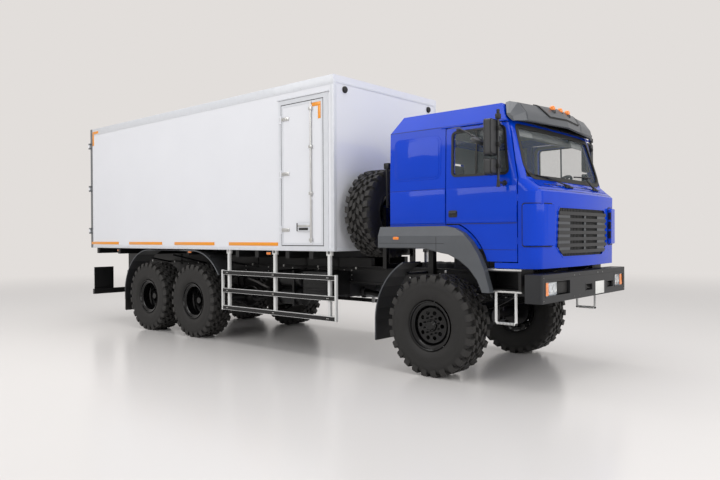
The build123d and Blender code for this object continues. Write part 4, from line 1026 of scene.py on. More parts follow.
def add_side_door():
    x0, x1, z0, z1 = SIDE_DOOR
    y = -BOX_HALF
    casing = Piece()
    outer = rectangle(x0 - 0.062, x1 + 0.103, 1.512, z1 + 0.073)
    inner = rectangle(x0 - 0.012, x1 + 0.012, z0 - 0.012, z1 + 0.012)
    ring_between(casing, outer, inner, y - 0.009, y + 0.002)
    casing.box(x0 - 0.08, x1 + 0.12, y - 0.026, y + 0.001, z1 + 0.078, z1 + 0.094, 0.003)
    casing.done("side_door_casing", "profile_white")
    gasket = Piece()
    ring_between(gasket, rectangle(x0 - 0.011, x1 + 0.011, z0 - 0.011, z1 + 0.011),
                 rectangle(x0, x1, z0, z1), y - 0.004, y + 0.02)
    gasket.done("side_door_seal", "seal")
    edge = Piece()
    ring_between(edge, rectangle(x0, x1, z0, z1), rectangle(x0 + 0.034, x1 - 0.034, z0 + 0.034, z1 - 0.034),
                 y - 0.0095, y - 0.005)
    edge.done("side_door_edging", "profile_white", "side_door")
    fittings = Piece()
    bar_x, bar_y = 1.554, y - 0.024
    for z in (1.808, 2.629, 3.433):
        fittings.box(x0 - 0.03, x0 + 0.165, y - 0.020, y - 0.006, *span(z, 0.026), 0.004)
        for k in range(3):
            bolt = x0 + 0.035 + k * 0.045
            fittings.post((bolt, y - 0.018, z), "y", y - 0.027, 0.010, segments=6)
    for z in (1.66, 2.32, 2.98, 3.52):
        fittings.box(*span(bar_x, 0.030), bar_y - 0.016, y - 0.006, *span(z, 0.022), 0.004)
    fittings.post((bar_x, bar_y, 1.62), "z", 3.60, 0.0135)
    fittings.box(1.30, 1.545, bar_y - 0.020, bar_y - 0.004, 1.848, 1.876, 0.004)
    fittings.done("side_door_fittings", "steel_bright", "side_door")
    latch = Piece()
    latch.prism(rounded(rectangle(1.273, 1.540, 1.782, 1.908), 0.012), y - 0.029, y - 0.006, bevel=0.004)
    latch.done("side_door_latch", "profile_white", "side_door")
    dark = Piece()
    dark.box(1.262, 1.285, y - 0.031, y - 0.006, 1.786, 1.904, 0.003)
    dark.box(1.31, 1.50, y - 0.0305, y - 0.028, 1.80, 1.835, 0.001)
    dark.done("side_door_latch_edge", "seal", "side_door")
    tape = Piece()
    tape.box(1.565, 1.743, y - 0.0112, y - 0.006, 3.548, 3.600, 0.0005)
    tape.box(1.692, 1.743, y - 0.0112, y - 0.006, 3.365, 3.548, 0.0005)
    tape.done("side_door_tape", "strip_orange", "side_door")


def add_rear():
    x = BOX_REAR
    for side_name, s in SIDES:
        leaf = f"rear_door_{side_name}"
        edging = Piece()
        y0, y1 = s * 0.007, s * 1.138
        ring_between(edging, rectangle(y0, y1, 1.634, 3.822),
                     rectangle(y0 + s * 0.03, y1 - s * 0.03, 1.664, 3.792), x - 0.0095, x - 0.004, "x")
        edging.done(f"rear_door_edging_{side_name}", "profile_white", leaf)
        bars = Piece()
        by, bx = s * 0.28, x - 0.020
        bars.post((bx, by, 1.66), "z", 3.80, 0.0135)
        for z in (1.70, 2.30, 2.95, 3.74):
            bars.box(bx - 0.016, x - 0.005, *span(by, 0.03), *span(z, 0.024), 0.004)
        bars.box(bx - 0.018, bx - 0.004, by, by + s * 0.33, 2.10, 2.13, 0.005)
        bars.box(bx - 0.014, x - 0.005, by + s * 0.25, by + s * 0.31, 2.07, 2.16, 0.004)
        for z in (1.850, 2.720, 3.600):
            bars.box(x - 0.022, x - 0.006, s * 1.232, s * 0.985, *span(z, 0.034), 0.004)
            for k in range(4):
                bolt = s * (1.005 + k * 0.035)
                bars.post((x - 0.020, bolt, z), "x", x - 0.029, 0.009, segments=6)
        bars.done(f"rear_door_bars_{side_name}", "steel_bright", leaf)
        seal = Piece()
        ring_between(seal, rectangle(s * 0.0015, s * 1.149, 1.623, 3.833),
                     rectangle(s * 0.0075, s * 1.1375, 1.6345, 3.8215), x + 0.002, x + 0.02, "x")
        seal.done(f"rear_door_seal_{side_name}", "seal", leaf)
        tape = Piece()
        tape.box(x - 0.003, x + 0.001, s * 0.95, s * 1.215, 3.865, 3.91, 0.0005)
        tape.box(x - 0.003, x + 0.001, s * 1.17, s * 1.215, 3.66, 3.865, 0.0005)
        tape.box(x - 0.003, x + 0.001, s * 0.10, s * 1.10, 1.545, 1.595, 0.0005)
        tape.done(f"rear_tape_{side_name}", "lamp_red")
        lens = Piece()
        amber = Piece()
        clear = Piece()
        for k, target in enumerate((amber, lens, lens, clear)):
            outer = 1.145 - k * 0.086
            target.box(-5.0335, -5.024, s * outer, s * (outer - 0.082), 0.942, 1.068, 0.005, 3)
        lens.done(f"tail_lens_{side_name}", "lamp_red")
        amber.done(f"tail_turn_{side_name}", "lamp_amber")
        clear.done(f"tail_reverse_{side_name}", "lamp_clear")
        guard = Piece()
        for k in range(6):
            guard.post((-5.037, s * (0.815 + k * 0.064), 0.93), "z", 1.08, 0.003, segments=8)
        for z in (0.93, 1.08):
            guard.post((-5.037, s * 0.80, z), "y", s * 1.15, 0.003, segments=8)
        guard.done(f"tail_lamp_guard_{side_name}", "steel_bright")
        flap = Piece()
        flap.prism(rounded(rectangle(s * 0.865, s * 1.230, 0.30, 0.56), 0.02), -3.62, -3.612, "x",
                   bevel=0.002)
        flap.done(f"mud_flap_{side_name}", "rubber")
    plate = Piece()
    plate.box(-4.9855, -4.9755, -0.26, 0.26, 0.66, 0.772, 0.002)
    plate.done("rear_plate", "plate_white")
    bolts = Piece()
    for y in (-1.1, -0.6, 0.6, 1.1):
        bolts.post((-4.972, y, 0.592), "x", -4.984, 0.014, segments=6)
    bolts.done("underrun_bolts", "steel_bright")


# Side guards, mudguards and steps
GUARD_Y = 1.200
GUARD_ZS = (0.530, 0.812, 1.100)
GUARD_REAR, GUARD_FRONT = -0.580, 1.967
GUARD_POSTS = (GUARD_REAR + 0.137, (GUARD_REAR + GUARD_FRONT) / 2 - 0.014, GUARD_FRONT - 0.140)


def add_side_guards():
    for side_name, s in SIDES:
        y = s * GUARD_Y
        rails = Piece()
        for z in GUARD_ZS:
            rear, front = GUARD_REAR - 0.001, GUARD_FRONT + 0.001
            rails.box(rear, front, y - s * 0.029, y + s * 0.001, z + 0.061, z + 0.0665, 0.001)
            rails.box(rear, front, y - s * 0.004, y + s * 0.0015, z - 0.001, z + 0.003, 0.001)
        for x in (GUARD_REAR - 0.005, GUARD_FRONT):
            rails.box(x - 0.001, x + 0.026, y - s * 0.037, y + s * 0.007, 0.524, 1.176, 0.003)
        for x in GUARD_POSTS:
            rails.box(*span(x, 0.024), y - s * 0.072, y - s * 0.028, 0.528, 1.46, 0.003)
            rails.box(*span(x, 0.05), y - s * 0.072, y - s * 0.030, 1.44, 1.50, 0.003)
        rails.done(f"guard_bright_{side_name}", "steel_white")
        bolts = Piece()
        for z in GUARD_ZS:
            for x in GUARD_POSTS:
                for dx in (-0.012, 0.012):
                    bolts.post((x + dx, y - s * 0.002, z + 0.032), "y", y + s * 0.005, 0.008, segments=6)
        bolts.done(f"guard_bolts_{side_name}", "steel_bright")


def arc_points(x, start, end, radius, steps=18):
    return [(x + radius * math.cos(a), HUB_Z + radius * math.sin(a)) for a in
            (math.radians(start + (end - start) * k / steps) for k in range(steps + 1))]


LIP_R = 0.857


def add_guard_lips():
    """The rolled edge along each mudguard's outside, in a lighter grey than the mudguard that paints the
    highlight the edge catches.
    """
    for side_name, s in SIDES:
        lip = Piece()
        rear = arc_points(MIDDLE_X, 33, 88, LIP_R) + [(MIDDLE_X - k * 0.2, HUB_Z + LIP_R) for k in range(1,
                                                                                                         7)]
        rear += arc_points(REAR_X, 90, 175, LIP_R)
        for points in (rear, arc_points(FRONT_X, 118, 180, LIP_R) + [(FRONT_X - LIP_R, 0.365)]):
            lip.path([(x, s * 1.236, z) for x, z in points], 0.0085, 8)
        # The lip's lighter grey is a painted highlight along the rolled edge.
        lip.done(f"mudguard_lip_{side_name}", "plastic_grey")
        stays = Piece()
        for x, z in ((-0.93, 1.38), (-2.05, 1.40), (-3.25, 1.38)):
            stays.rod((x, s * 0.45, 1.22), (x, s * 1.18, z), 0.016)
        stays.done(f"mudguard_stays_{side_name}", "chassis_black")
        bolts = Piece()
        for x in (-2.6, -2.05, -1.5):
            for out in (0.95, 1.15):
                bolts.post((x, s * out, HUB_Z + 0.864), "z", HUB_Z + 0.872, 0.011, 0.008, 8)
        bolts.done(f"mudguard_bolts_{side_name}", "steel_bright")


def add_steps():
    for side_name, s in SIDES:
        edges = Piece()
        for z in (1.330, 1.083):
            edges.box(4.262, 4.758, s * 1.143, s * 1.128, z - 0.018, z + 0.001, 0.002)
            for k in range(11):
                x = 4.29 + k * 0.044
                edges.box(*span(x, 0.008), s * 0.90, s * 1.125, z - 0.004, z + 0.003, 0.001)
        edges.done(f"step_treads_{side_name}", "steel_bright")
        ladder = Piece()
        points = [(4.430, 1.066), (4.430, 0.735), (4.446, 0.716), (4.664, 0.716), (4.680, 0.735),
                  (4.680, 1.066)]
        ladder.path([(x, s * 1.12, z) for x, z in points], 0.0155, 12)
        ladder.done(f"step_ladder_{side_name}", "steel_white")
        grip = Piece()
        for k in range(12):
            x = 4.46 + k * 0.0175
            grip.post((x, s * 1.12, 0.716), "x", x + 0.004, 0.0185, segments=12)
        grip.done(f"step_grip_{side_name}", "chassis_black")


FLARE_EDGE = ((2.785, 1.563), (3.500, 1.563), (3.760, 1.508), (3.860, 1.493), (4.010, 1.428), (4.140, 1.333),
              (4.250, 1.203), (4.315, 1.065))


def add_flares():
    for side_name, s in SIDES:
        y = s * 1.240
        lines = Piece()
        lines.box(2.79, 3.80, y - s * 0.003, y + s * 0.0015, 1.617, 1.621)
        lines.box(3.684, 3.688, y - s * 0.003, y + s * 0.0015, 1.53, 1.70)
        lines.done(f"flare_joint_{side_name}", "seal", "cab")
        marker = Piece()
        marker.prism(rounded(rectangle(3.03, 3.12, 1.665, 1.700), 0.012), y - s * 0.002, y + s * 0.006,
                     bevel=0.002)
        marker.done(f"flare_marker_{side_name}", "lamp_amber", "cab")
        lip = Piece()
        lip.path([(x, s * 1.234, z + 0.004) for x, z in FLARE_EDGE], 0.007, 8)
        lip.done(f"flare_lip_{side_name}", "plastic_dark", "cab")


BUMPER_X = 5.045
LAMP_Z = (1.052, 1.193)
TOW_YS = (0.025, 0.695)


def add_bumper():
    x = BUMPER_X
    lens = Piece()
    for y0, y1 in ((-1.048, -0.822), (0.870, 1.048)):
        lens.prism(rounded(rectangle(y0, y1, *LAMP_Z), 0.012), x - 0.034, x - 0.020, "x", bevel=0.004)
    lens.done("headlamp_lens", "lamp_clear")
    bowls = Piece()
    for yc in (-0.985, -0.885, 0.915, 1.0):
        bowls.turned([(POLE, 0.0), (0.041, 0.006), (0.046, 0.010), (0.041, 0.002), (POLE, -0.003)],
                     (x - 0.026, yc, 1.122), "x", 32)
    bowls.done("headlamp_bowls", "steel_bright")
    amber = Piece()
    for y0, y1 in ((-1.132, -1.064), (1.064, 1.132)):
        amber.prism(rounded(rectangle(y0, y1, *LAMP_Z), 0.008), x - 0.014, x - 0.003, "x", bevel=0.003)
    amber.done("front_turn_lamps", "lamp_amber")
    fog = Piece()
    fog.box(x - 0.06, x - 0.026, -0.80, -0.54, 1.055, 1.19, 0.006)
    fog.done("lamp_backing", "seal")
    trim = Piece()
    for y0, y1 in ((-1.150, -0.520), (0.855, 1.150)):
        edge = rounded(rectangle(y0, y1, 1.040, 1.205), 0.012)
        ring_between(trim, grown(edge, 0.006), grown(edge, -0.006), x - 0.02, x + 0.003, "x")
    for yc in TOW_YS:
        edge = rounded(rectangle(*span(yc, 0.1), 1.043, 1.128), 0.012)
        ring_between(trim, grown(edge, 0.005), grown(edge, -0.005), x - 0.02, x + 0.002, "x")
    trim.done("bumper_trim", "plastic_dark")
    hooks = Piece()
    for yc in TOW_YS:
        hooks.post((x - 0.045, yc - 0.105, 1.085), "y", yc + 0.105, 0.018)
        hooks.box(x - 0.17, x - 0.03, *span(yc, 0.03), 1.055, 1.115, 0.01)
    hooks.done("tow_hooks", "chassis_black")
    plate = Piece()
    plate.box(x - 0.001, x + 0.003, 0.220, 0.495, 0.985, 1.140, 0.0008)
    plate.done("front_plate", "plate_white")
    bolts = Piece()
    for y in (-1.19, -0.40, -0.25, 0.30, 0.45, 1.19):
        for z in (1.00, 1.25):
            bolts.post((x - 0.004, y, z), "x", x, 0.012, 0.009, 10)
    bolts.done("bumper_bolts", "steel_bright")
    groove = Piece()
    groove.box(x - 0.012, x + 0.0006, -1.20, 1.20, 1.228, 1.233)
    groove.done("bumper_groove", "seal")


# Cab interior
def add_interior():
    lining = Piece()
    rear_window = rectangle(-0.515, 0.515, 2.385, 2.755)
    ring_between(lining, rectangle(-1.088, 1.088, 1.625, 2.99), rear_window, 2.9665, 2.974, "x")
    lining.box(3.0, 4.44, -1.02, 1.02, 3.088, 3.098, 0.003)
    lining.done("cab_lining", "lining", "cab")
    for side_name, s in SIDES:
        side = Piece()
        side.box(2.975, 3.69, s * 1.090, s * 1.0975, 1.625, 2.99, 0.002)
        lean_side(side).done(f"side_lining_{side_name}", "lining", "cab")
        trim = Piece()
        outline = rounded([(3.80, 1.90), (4.02, 1.90), (4.36, 1.50), (4.67, 1.50), (4.67, 2.33),
                           (3.80, 2.36)], 0.05)
        trim.prism(outline, s * 1.0885, s * 1.074, bevel=0.006)
        trim.box(3.92, 4.42, s * 1.075, s * 1.030, 2.10, 2.145, 0.018, 3)
        trim.box(4.45, 4.60, s * 1.075, s * 1.058, 1.60, 1.86, 0.012, 3)
        trim.post((4.50, s * 1.075, 2.20), "y", s * 1.05, 0.02)
        trim.done(f"door_trim_{side_name}", "interior", f"door_{side_name}")
        surround = Piece()
        window = rounded(WINDOW, 0.045)
        ring_between(surround, grown(window, 0.045), grown(window, 0.004), s * 1.0885, s * 1.083)
        lean_side(surround).done(f"window_surround_{side_name}", "lining", f"door_{side_name}")
    frame_in = Piece()
    screen = dense(rounded(SCREEN, 0.05, 6), 0.06)
    ring_between(frame_in, grown(screen, 0.03), grown(screen, -0.012), -0.058, -0.052, "x")
    for s in (-1, 1):
        frame_in.prism([(s * 0.55, 2.86), (s * 0.96, 2.86), (s * 0.95, 2.96), (s * 0.55, 2.96)], -0.085,
                       -0.065, "x")
    wrap_front(frame_in).done("screen_lining", "lining", "cab")
    shelf = Piece()
    shelf.prism([(4.30, 2.93), (4.47, 2.90), (4.49, 3.05), (4.30, 3.08)], -0.98, 0.98, "y", bevel=0.012)
    shelf.box(4.296, 4.300, -0.94, -0.02, 2.95, 3.06, 0.001)
    shelf.box(4.296, 4.300, 0.02, 0.94, 2.95, 3.06, 0.001)
    shelf.done("overhead_shelf", "lining", "cab")
    dash = Piece()
    dash.prism(rounded([(4.44, 2.22), (4.47, 2.38), (4.56, 2.40), (4.70, 2.305), (4.70, 2.20)], 0.02), 0.30,
               0.84, "y", bevel=0.008)
    dash.box(4.500, 4.524, -0.24, 0.24, 2.02, 2.27, 0.012, 3)
    dash.box(4.498, 4.524, -0.92, -0.36, 2.06, 2.24, 0.015, 3)
    for y in (-0.78, -0.12, 0.12, 0.95):
        dash.prism(rounded(rectangle(*span(y, 0.07), 2.245, 2.285), 0.01), 4.505, 4.522, "x", bevel=0.003)
    dash.done("dash_panels", "interior", "cab")
    dials = Piece()
    for y in (0.44, 0.57, 0.70):
        dials.turned([(POLE, 0), (0.045, 0), (0.050, -0.004), (0.050, -0.008), (0.043, -0.006),
                      (POLE, -0.004)], (4.452, y, 2.30), "x", 28)
    dials.done("dials", "steel_bright", "cab")
    wheel = Piece()
    centre, tilt = Vector((4.400, 0.560, 2.350)), Matrix.Rotation(math.radians(-38.5), 4, "Y")
    rim = [centre + tilt @ Vector((*p, 0)) for p in around(48, 0.215)]
    wheel.path(rim + rim[:1], 0.0165, 10)
    wheel.rod(centre - tilt @ Vector((0, 0, 0.02)), centre + tilt @ Vector((0, 0, 0.022)), 0.075, 0.062, 32)
    for a in (0.0, 2.1, 4.2):
        tip = centre + tilt @ Vector((0.21 * math.cos(a), 0.21 * math.sin(a), 0))
        wheel.rod(centre, tip, 0.017, 0.013, 10)
    wheel.done("steering_wheel", "seal", "cab")
    tunnel = Piece()
    tunnel.box(2.98, 4.50, -0.428, 0.428, 1.892, 1.905, 0.005)
    for s in (-1, 1):
        tunnel.box(3.0, 4.45, s * 0.44, s * 1.085, 1.612, 1.620, 0.003)
    tunnel.rod((4.15, 0.05, 1.90), (4.20, 0.10, 2.18), 0.012)
    knob = [(POLE, -0.03), (0.024, -0.02), (0.030, 0.0), (0.022, 0.024), (POLE, 0.03)]
    tunnel.turned(knob, (4.202, 0.102, 2.20), "z", 20)
    tunnel.turned([(POLE, 0.0), (0.085, 0.0), (0.060, 0.03), (0.030, 0.08), (POLE, 0.09)],
                  (4.15, 0.05, 1.905), "z", 20)
    tunnel.done("cab_mats", "seal", "cab")


SEAT_Y = 0.667
CUSHION_STEPS = 5


def add_seats():
    """Two padded seats with welts, head restraints and belts."""
    pads = Piece()
    for s in (-1, 1):
        pads.box(3.66, 4.10, s * 0.45, s * 0.885, 1.875, 1.978, 0.035, CUSHION_STEPS)
        pads.box(3.585, 3.685, s * 0.455, s * 0.88, 1.93, 2.42, 0.035, CUSHION_STEPS)
        y = s * SEAT_Y
        for k in (-1, 1):
            pads.box(3.68, 4.09, y + k * 0.165, y + k * 0.215, 1.90, 2.00, 0.022, CUSHION_STEPS)
            pads.box(3.60, 3.712, y + k * 0.155, y + k * 0.212, 1.98, 2.38, 0.022, CUSHION_STEPS)
        pads.box(3.575, 3.665, *span(y, 0.12), 2.455, 2.595, 0.032, CUSHION_STEPS)
    seats = pads.done("seat_pads", "seat_cloth", "cab", angle=50, replaces=("seats",), slot="seat_fabric")
    frames = Piece()
    for s in (-1, 1):
        frames.box(3.60, 4.08, s * 0.46, s * 0.875, 1.845, 1.885, 0.01)
        frames.box(3.65, 4.00, s * 0.50, s * 0.82, 1.611, 1.655, 0.01)
        frames.prism([(3.68, 1.65), (3.98, 1.65), (3.88, 1.75), (3.98, 1.85), (3.68, 1.85), (3.78, 1.75)],
                     s * 0.52, s * 0.80, "y", bevel=0.005)
        frames.box(3.562, 3.600, s * 0.48, s * 0.855, 1.88, 2.40, 0.014, 3)
        for k in (-0.06, 0.06):
            frames.post((3.62, s * SEAT_Y + k, 2.38), "z", 2.48, 0.007, segments=10)
        frames.box(3.70, 3.95, s * 0.893, s * 0.900, 1.87, 1.93, 0.003)
        frames.post((3.62, s * 0.43, 1.90), "z", 2.02, 0.012)
    frames.done("seat_frames", "interior", "cab")


# Under the truck
RAIL_Y = 0.440
RAIL_BOLT_XS = (-4.7, -4.5, -3.6, -3.4, -2.65, -2.2, -2.05, -1.9, -1.45, -0.9, -0.3, -0.1, 0.3, 0.9, 1.45,
                1.6, 2.5, 2.7, 2.95, 3.2, 3.8, 4.1, 4.5, 4.65)


def add_frame_details():
    bolts = Piece()
    for s in (-1, 1):
        for x in RAIL_BOLT_XS:
            for z in (1.06, 1.13, 1.20):
                bolts.post((x, s * (RAIL_Y - 0.002), z), "y", s * (RAIL_Y + 0.010), 0.012, 0.010, 6)
    bolts.done("frame_bolts", "steel_bright")
    lines = Piece()
    for s in (-1, 1):
        for z in (1.225, 1.240, 1.03):
            points = [(4.3 - i * 0.4, s * (RAIL_Y + 0.014 + 0.002 * (i % 2)), z) for i in range(22)]
            lines.path(points, 0.008, 6)
    lines.done("air_lines", "seal")
    clips = Piece()
    for s in (-1, 1):
        for x in [4.1 - i * 0.8 for i in range(11)]:
            clips.box(*span(x, 0.015), s * (RAIL_Y - 0.001), s * (RAIL_Y + 0.026), 1.215, 1.252, 0.004)
    clips.done("pipe_clips", "steel_bright")
    clamps = Piece()
    for s in (-1, 1):
        for x in (-4.2, -2.9, -1.6, -0.6, 0.6, 1.3):
            clamps.box(*span(x, 0.035), s * (RAIL_Y - 0.001), s * (RAIL_Y + 0.012), 1.18, 1.385, 0.004)
            for z in (1.21, 1.25, 1.31, 1.36):
                clamps.post((x, s * (RAIL_Y + 0.010), z), "y", s * (RAIL_Y + 0.022), 0.010, segments=6)
    clamps.done("subframe_clamps", "chassis_black")


SPRING_Y = 0.400
SPRING_HALF = 0.047
FRONT_LEAVES, REAR_LEAVES = 6, 8
BOGIE_X = -2.05
AXLE_SHAFT_Z = HUB_Z + 0.02
SHAFT_JOINTS = ((2.70, 1.015), (1.47, 1.015), (1.47, 0.852), (3.335, AXLE_SHAFT_Z), (-1.09, AXLE_SHAFT_Z),
                (0.95, 0.90), (-2.50, AXLE_SHAFT_Z), (-1.60, AXLE_SHAFT_Z))
LEAF_SPAN = 0.70


def leaf(middle, half, low, rise, thick):
    """A spring leaf's side view, which is curved by rise at LEAF_SPAN from its middle."""
    steps = [half * (i / 6 - 1) for i in range(13)]
    edge = [(middle + x, low + rise * (x / LEAF_SPAN) ** 2) for x in steps]
    return edge + [(x, z + thick) for x, z in reversed(edge)]


def add_running_gear():
    leaves = Piece()
    for s in (-1, 1):
        y0, y1 = s * (SPRING_Y - SPRING_HALF), s * (SPRING_Y + SPRING_HALF)
        for k in range(FRONT_LEAVES):
            leaves.prism(leaf(FRONT_X, 0.66 - k * 0.095, 0.722 + 0.0145 * k, 0.225, 0.0115), y0, y1)
        for k in range(REAR_LEAVES):
            leaves.prism(leaf(BOGIE_X, 0.70 - k * 0.07, HUB_Z + 0.27 - 0.0155 * k, -0.155, 0.0125), y0, y1)
    leaves.done("leaf_packs", "chassis_black")
    ubolts = Piece()
    for s in (-1, 1):
        y = s * SPRING_Y
        for dy in (-0.056, 0.056):
            for x in (3.53, 3.64):
                ubolts.post((x, y + dy, HUB_Z - 0.10), "z", HUB_Z + 0.22, 0.011, segments=10)
                ubolts.post((x, y + dy, HUB_Z - 0.115), "z", HUB_Z - 0.09, 0.018, segments=6)
            for x in (-2.14, -1.96):
                ubolts.post((x, y + dy, HUB_Z + 0.10), "z", HUB_Z + 0.31, 0.012, segments=10)
        ubolts.box(3.50, 3.67, *span(y, 0.075), HUB_Z - 0.095, HUB_Z - 0.075, 0.004)
        ubolts.box(3.50, 3.67, *span(y, 0.07), HUB_Z + 0.19, HUB_Z + 0.205, 0.004)
    ubolts.done("spring_bolts", "cast")
    dampers = Piece()
    rods = Piece()
    for s in (-1, 1):
        dampers.rod((3.40, s * 0.50, 0.95), (3.30, s * 0.505, 1.14), 0.032)
        rods.rod((3.48, s * 0.495, 0.72), (3.40, s * 0.50, 0.95), 0.014)
        dampers.box(3.27, 3.33, s * 0.440, s * 0.52, 1.12, 1.18, 0.008)
        for x in (MIDDLE_X, REAR_X):
            dampers.turned([(POLE, 0), (0.072, 0), (0.078, 0.02), (0.078, 0.10), (0.06, 0.13), (POLE, 0.13)],
                           (x + 0.10, s * 0.66, HUB_Z + 0.10), "x", 28)
            dampers.turned([(POLE, 0), (0.078, 0), (0.080, 0.012), (0.078, 0.024), (POLE, 0.024)],
                           (x + 0.16, s * 0.66, HUB_Z + 0.10), "x", 28)
            dampers.box(x - 0.02, x + 0.10, s * 0.63, s * 0.69, HUB_Z + 0.05, HUB_Z + 0.12, 0.006)
    dampers.done("brake_chambers", "chassis_black")
    rods.done("damper_rods", "steel_bright")
    casings = Piece()
    for x in AXLE_XS.values():
        for flip in (-1, 1):
            casings.turned([(POLE, 0.06), (0.150, 0.06), (0.192, 0.03), (0.192, 0.0), (POLE, 0.0)],
                           (x, 0, HUB_Z), "x", 40, flip)
            for u, v in around(12, 0.175):
                casings.post((x + flip * 0.03, u, HUB_Z + v), "x", x + flip * 0.06, 0.010, segments=6)
            casings.turned([(POLE, 0.185), (0.098, 0.185), (0.104, 0.19), (0.104, 0.204), (POLE, 0.204)],
                           (x, 0, HUB_Z + 0.02), "x", 32, flip)
        for k in range(-3, 4):
            if k:
                casings.box(*span(x, 0.006), *span(k * 0.085, 0.035), *span(HUB_Z, 0.11), 0.004)
    casings.done("axle_casings", "cast")
    joints = Piece()
    for x, z in SHAFT_JOINTS:
        joints.turned([(POLE, -0.030), (0.062, -0.030), (0.066, -0.024), (0.066, -0.012), (0.050, -0.008),
                       (0.050, 0.008), (0.066, 0.012), (0.066, 0.024), (0.062, 0.030), (POLE, 0.030)],
                      (x, 0, z), "x", 28)
        for u, v in around(4, 0.05, 0.5):
            joints.post((x - 0.034, u, z + v), "x", x + 0.034, 0.009, segments=6)
    joints.done("shaft_joints", "cast")


AIR_TANK_Y = -0.74
SILENCER = (0.70, 1.00)     # y and z of its middle line


def add_tanks():
    straps = Piece()
    for x in (1.05, 1.55):
        edge = rounded(rectangle(0.438, 0.962, 0.698, 1.222), [0.01, 0.07, 0.07, 0.01], 5)
        ring_between(straps, grown(edge, 0.006), grown(edge, -0.004), *span(x, 0.028), "x")
    straps.post((1.30, 0.80, 1.215), "z", 1.245, 0.055)
    straps.post((1.30, 0.80, 1.245), "z", 1.262, 0.062, 0.056)
    straps.done("fuel_tank_straps", "chassis_black")
    seams = Piece()
    for x in (0.915, 1.685):
        edge = rounded(rectangle(0.442, 0.958, 0.702, 1.218), [0.01, 0.068, 0.068, 0.01], 5)
        ring_between(seams, grown(edge, 0.005), grown(edge, -0.004), *span(x, 0.006), "x")
    seams.done("fuel_tank_seams", "alloy")
    lids = Piece()
    lids.box(1.058, 1.552, -0.934, -0.918, 0.848, 1.182, 0.008)
    for k in range(3):
        lids.box(1.10, 1.51, -0.940, -0.932, 0.91 + k * 0.10, 0.935 + k * 0.10, 0.006)
    for x in (1.19, 1.42):
        lids.box(*span(x, 0.03), -0.945, -0.93, 1.12, 1.16, 0.005)
    lids.done("equipment_lid", "chassis_black")
    bands = Piece()
    for z in (1.050, 0.780):
        for x in (0.315, 0.885):
            bands.turned([(0.118, -0.012), (0.1285, -0.012), (0.1285, 0.012), (0.118, 0.012)],
                         (x, AIR_TANK_Y, z), "x", 36)
        for x, flip in ((0.290, -1), (0.910, 1)):
            bands.turned([(POLE, 0.0), (0.122, 0.0), (0.105, 0.014), (0.06, 0.021), (POLE, 0.023)],
                         (x, AIR_TANK_Y, z), "x", 36, flip)
            bands.post((x, AIR_TANK_Y, z), "x", x + flip * 0.034, 0.014, segments=6)
    bands.done("air_tank_ends", "chassis_black")
    pipe = Piece()
    pipe.path([(2.45, *SILENCER), (2.56, *SILENCER), (2.64, 0.62, 1.00), (2.80, 0.50, 1.02),
               (3.05, 0.49, 1.10)], 0.045, 16)
    pipe.path([(1.75, *SILENCER), (1.72, 0.74, 0.99), (1.70, 0.98, 0.96), (1.70, 1.12, 0.95)], 0.042, 16)
    pipe.done("exhaust_pipe", "alloy")
    bands = Piece()
    for x in (1.80, 2.02, 2.18, 2.40):
        bands.turned([(0.146, -0.014), (0.1535, -0.014), (0.1535, 0.014), (0.146, 0.014)], (x, *SILENCER),
                     "x", 36)
    bands.done("silencer_bands", "alloy")


FAN_Z = 1.30


def add_engine():
    """What can be seen of the engine, gearbox and transfer box from below and through the arches."""
    body = Piece()
    body.box(3.36, 4.55, -0.334, 0.334, 1.52, 1.764, 0.03)
    for i in range(6):
        x = 3.45 + i * 0.185
        body.box(*span(x, 0.07), -0.345, 0.345, 1.30, 1.50, 0.02)
        body.post((x, -0.30, 1.76), "z", 1.79, 0.02)
    body.prism([(3.42, 0.97), (3.50, 0.952), (4.48, 0.952), (4.54, 0.97), (4.54, 1.02), (3.42, 1.02)],
               -0.338, 0.338, "y", bevel=0.008)
    for i in range(9):
        x = 3.46 + i * 0.13
        for s in (-1, 1):
            body.post((x, s * 0.325, 1.03), "y", s * 0.345, 0.012, segments=6)
    body.post((4.56, 0, FAN_Z), "x", 4.66, 0.30, 0.30, 40)
    for u, v in around(7, 0.12):
        body.box(4.60, 4.64, *span(u, 0.03), *span(FAN_Z + v, 0.03), 0.005)
    for i in range(5):
        x = 2.80 + i * 0.12
        body.box(*span(x, 0.008), -0.237, 0.237, 0.893, 1.336, 0.005)
    for i in range(4):
        x = 1.05 + i * 0.105
        body.box(*span(x, 0.008), -0.337, 0.337, 0.773, 1.296, 0.005)
    for s in (-1, 1):
        body.turned([(POLE, 0), (0.09, 0), (0.09, 0.012), (0.06, 0.02), (POLE, 0.02)],
                    (1.21, s * 0.335, 0.95), "y", 30, s)
    body.done("engine_details", "cast")


SPARE_POST_X = 2.57
SPARE = (-0.555, 2.03)      # y and z of its middle


def add_spare():
    post = SPARE_POST_X
    nuts = Piece()
    for u, v in around(10, 0.15):
        nuts.post((post - 0.145, SPARE[0] + u, SPARE[1] + v), "x", post - 0.133, 0.027, segments=18)
    nuts.post((post - 0.15, *SPARE), "x", post + 0.075, 0.045)
    nuts.post((post + 0.06, *SPARE), "x", post + 0.085, 0.07, segments=6)
    nuts.done("spare_nuts", "chassis_black")
    winch = Piece()
    winch.box(post - 0.01, post + 0.075, -0.85, -0.78, 2.62, 2.70, 0.01)
    winch.post((post + 0.03, -0.82, 1.33), "z", 2.66, 0.022)
    winch.done("spare_winch", "chassis_black")


# Stage
BACKDROP = srgb(226, 222, 219)
FLOOR_R = 60.0
FLOOR_FADE = (9.0, 24.0)        # the floor turns into the backdrop between these distances


def mixed(tree, share, first, second, target):
    mix = tree.nodes.new("ShaderNodeMixShader")
    tree.links.new(share, mix.inputs["Fac"])
    tree.links.new(first, mix.inputs[1])
    tree.links.new(second, mix.inputs[2])
    tree.links.new(mix.outputs["Shader"], target.inputs["Surface"])


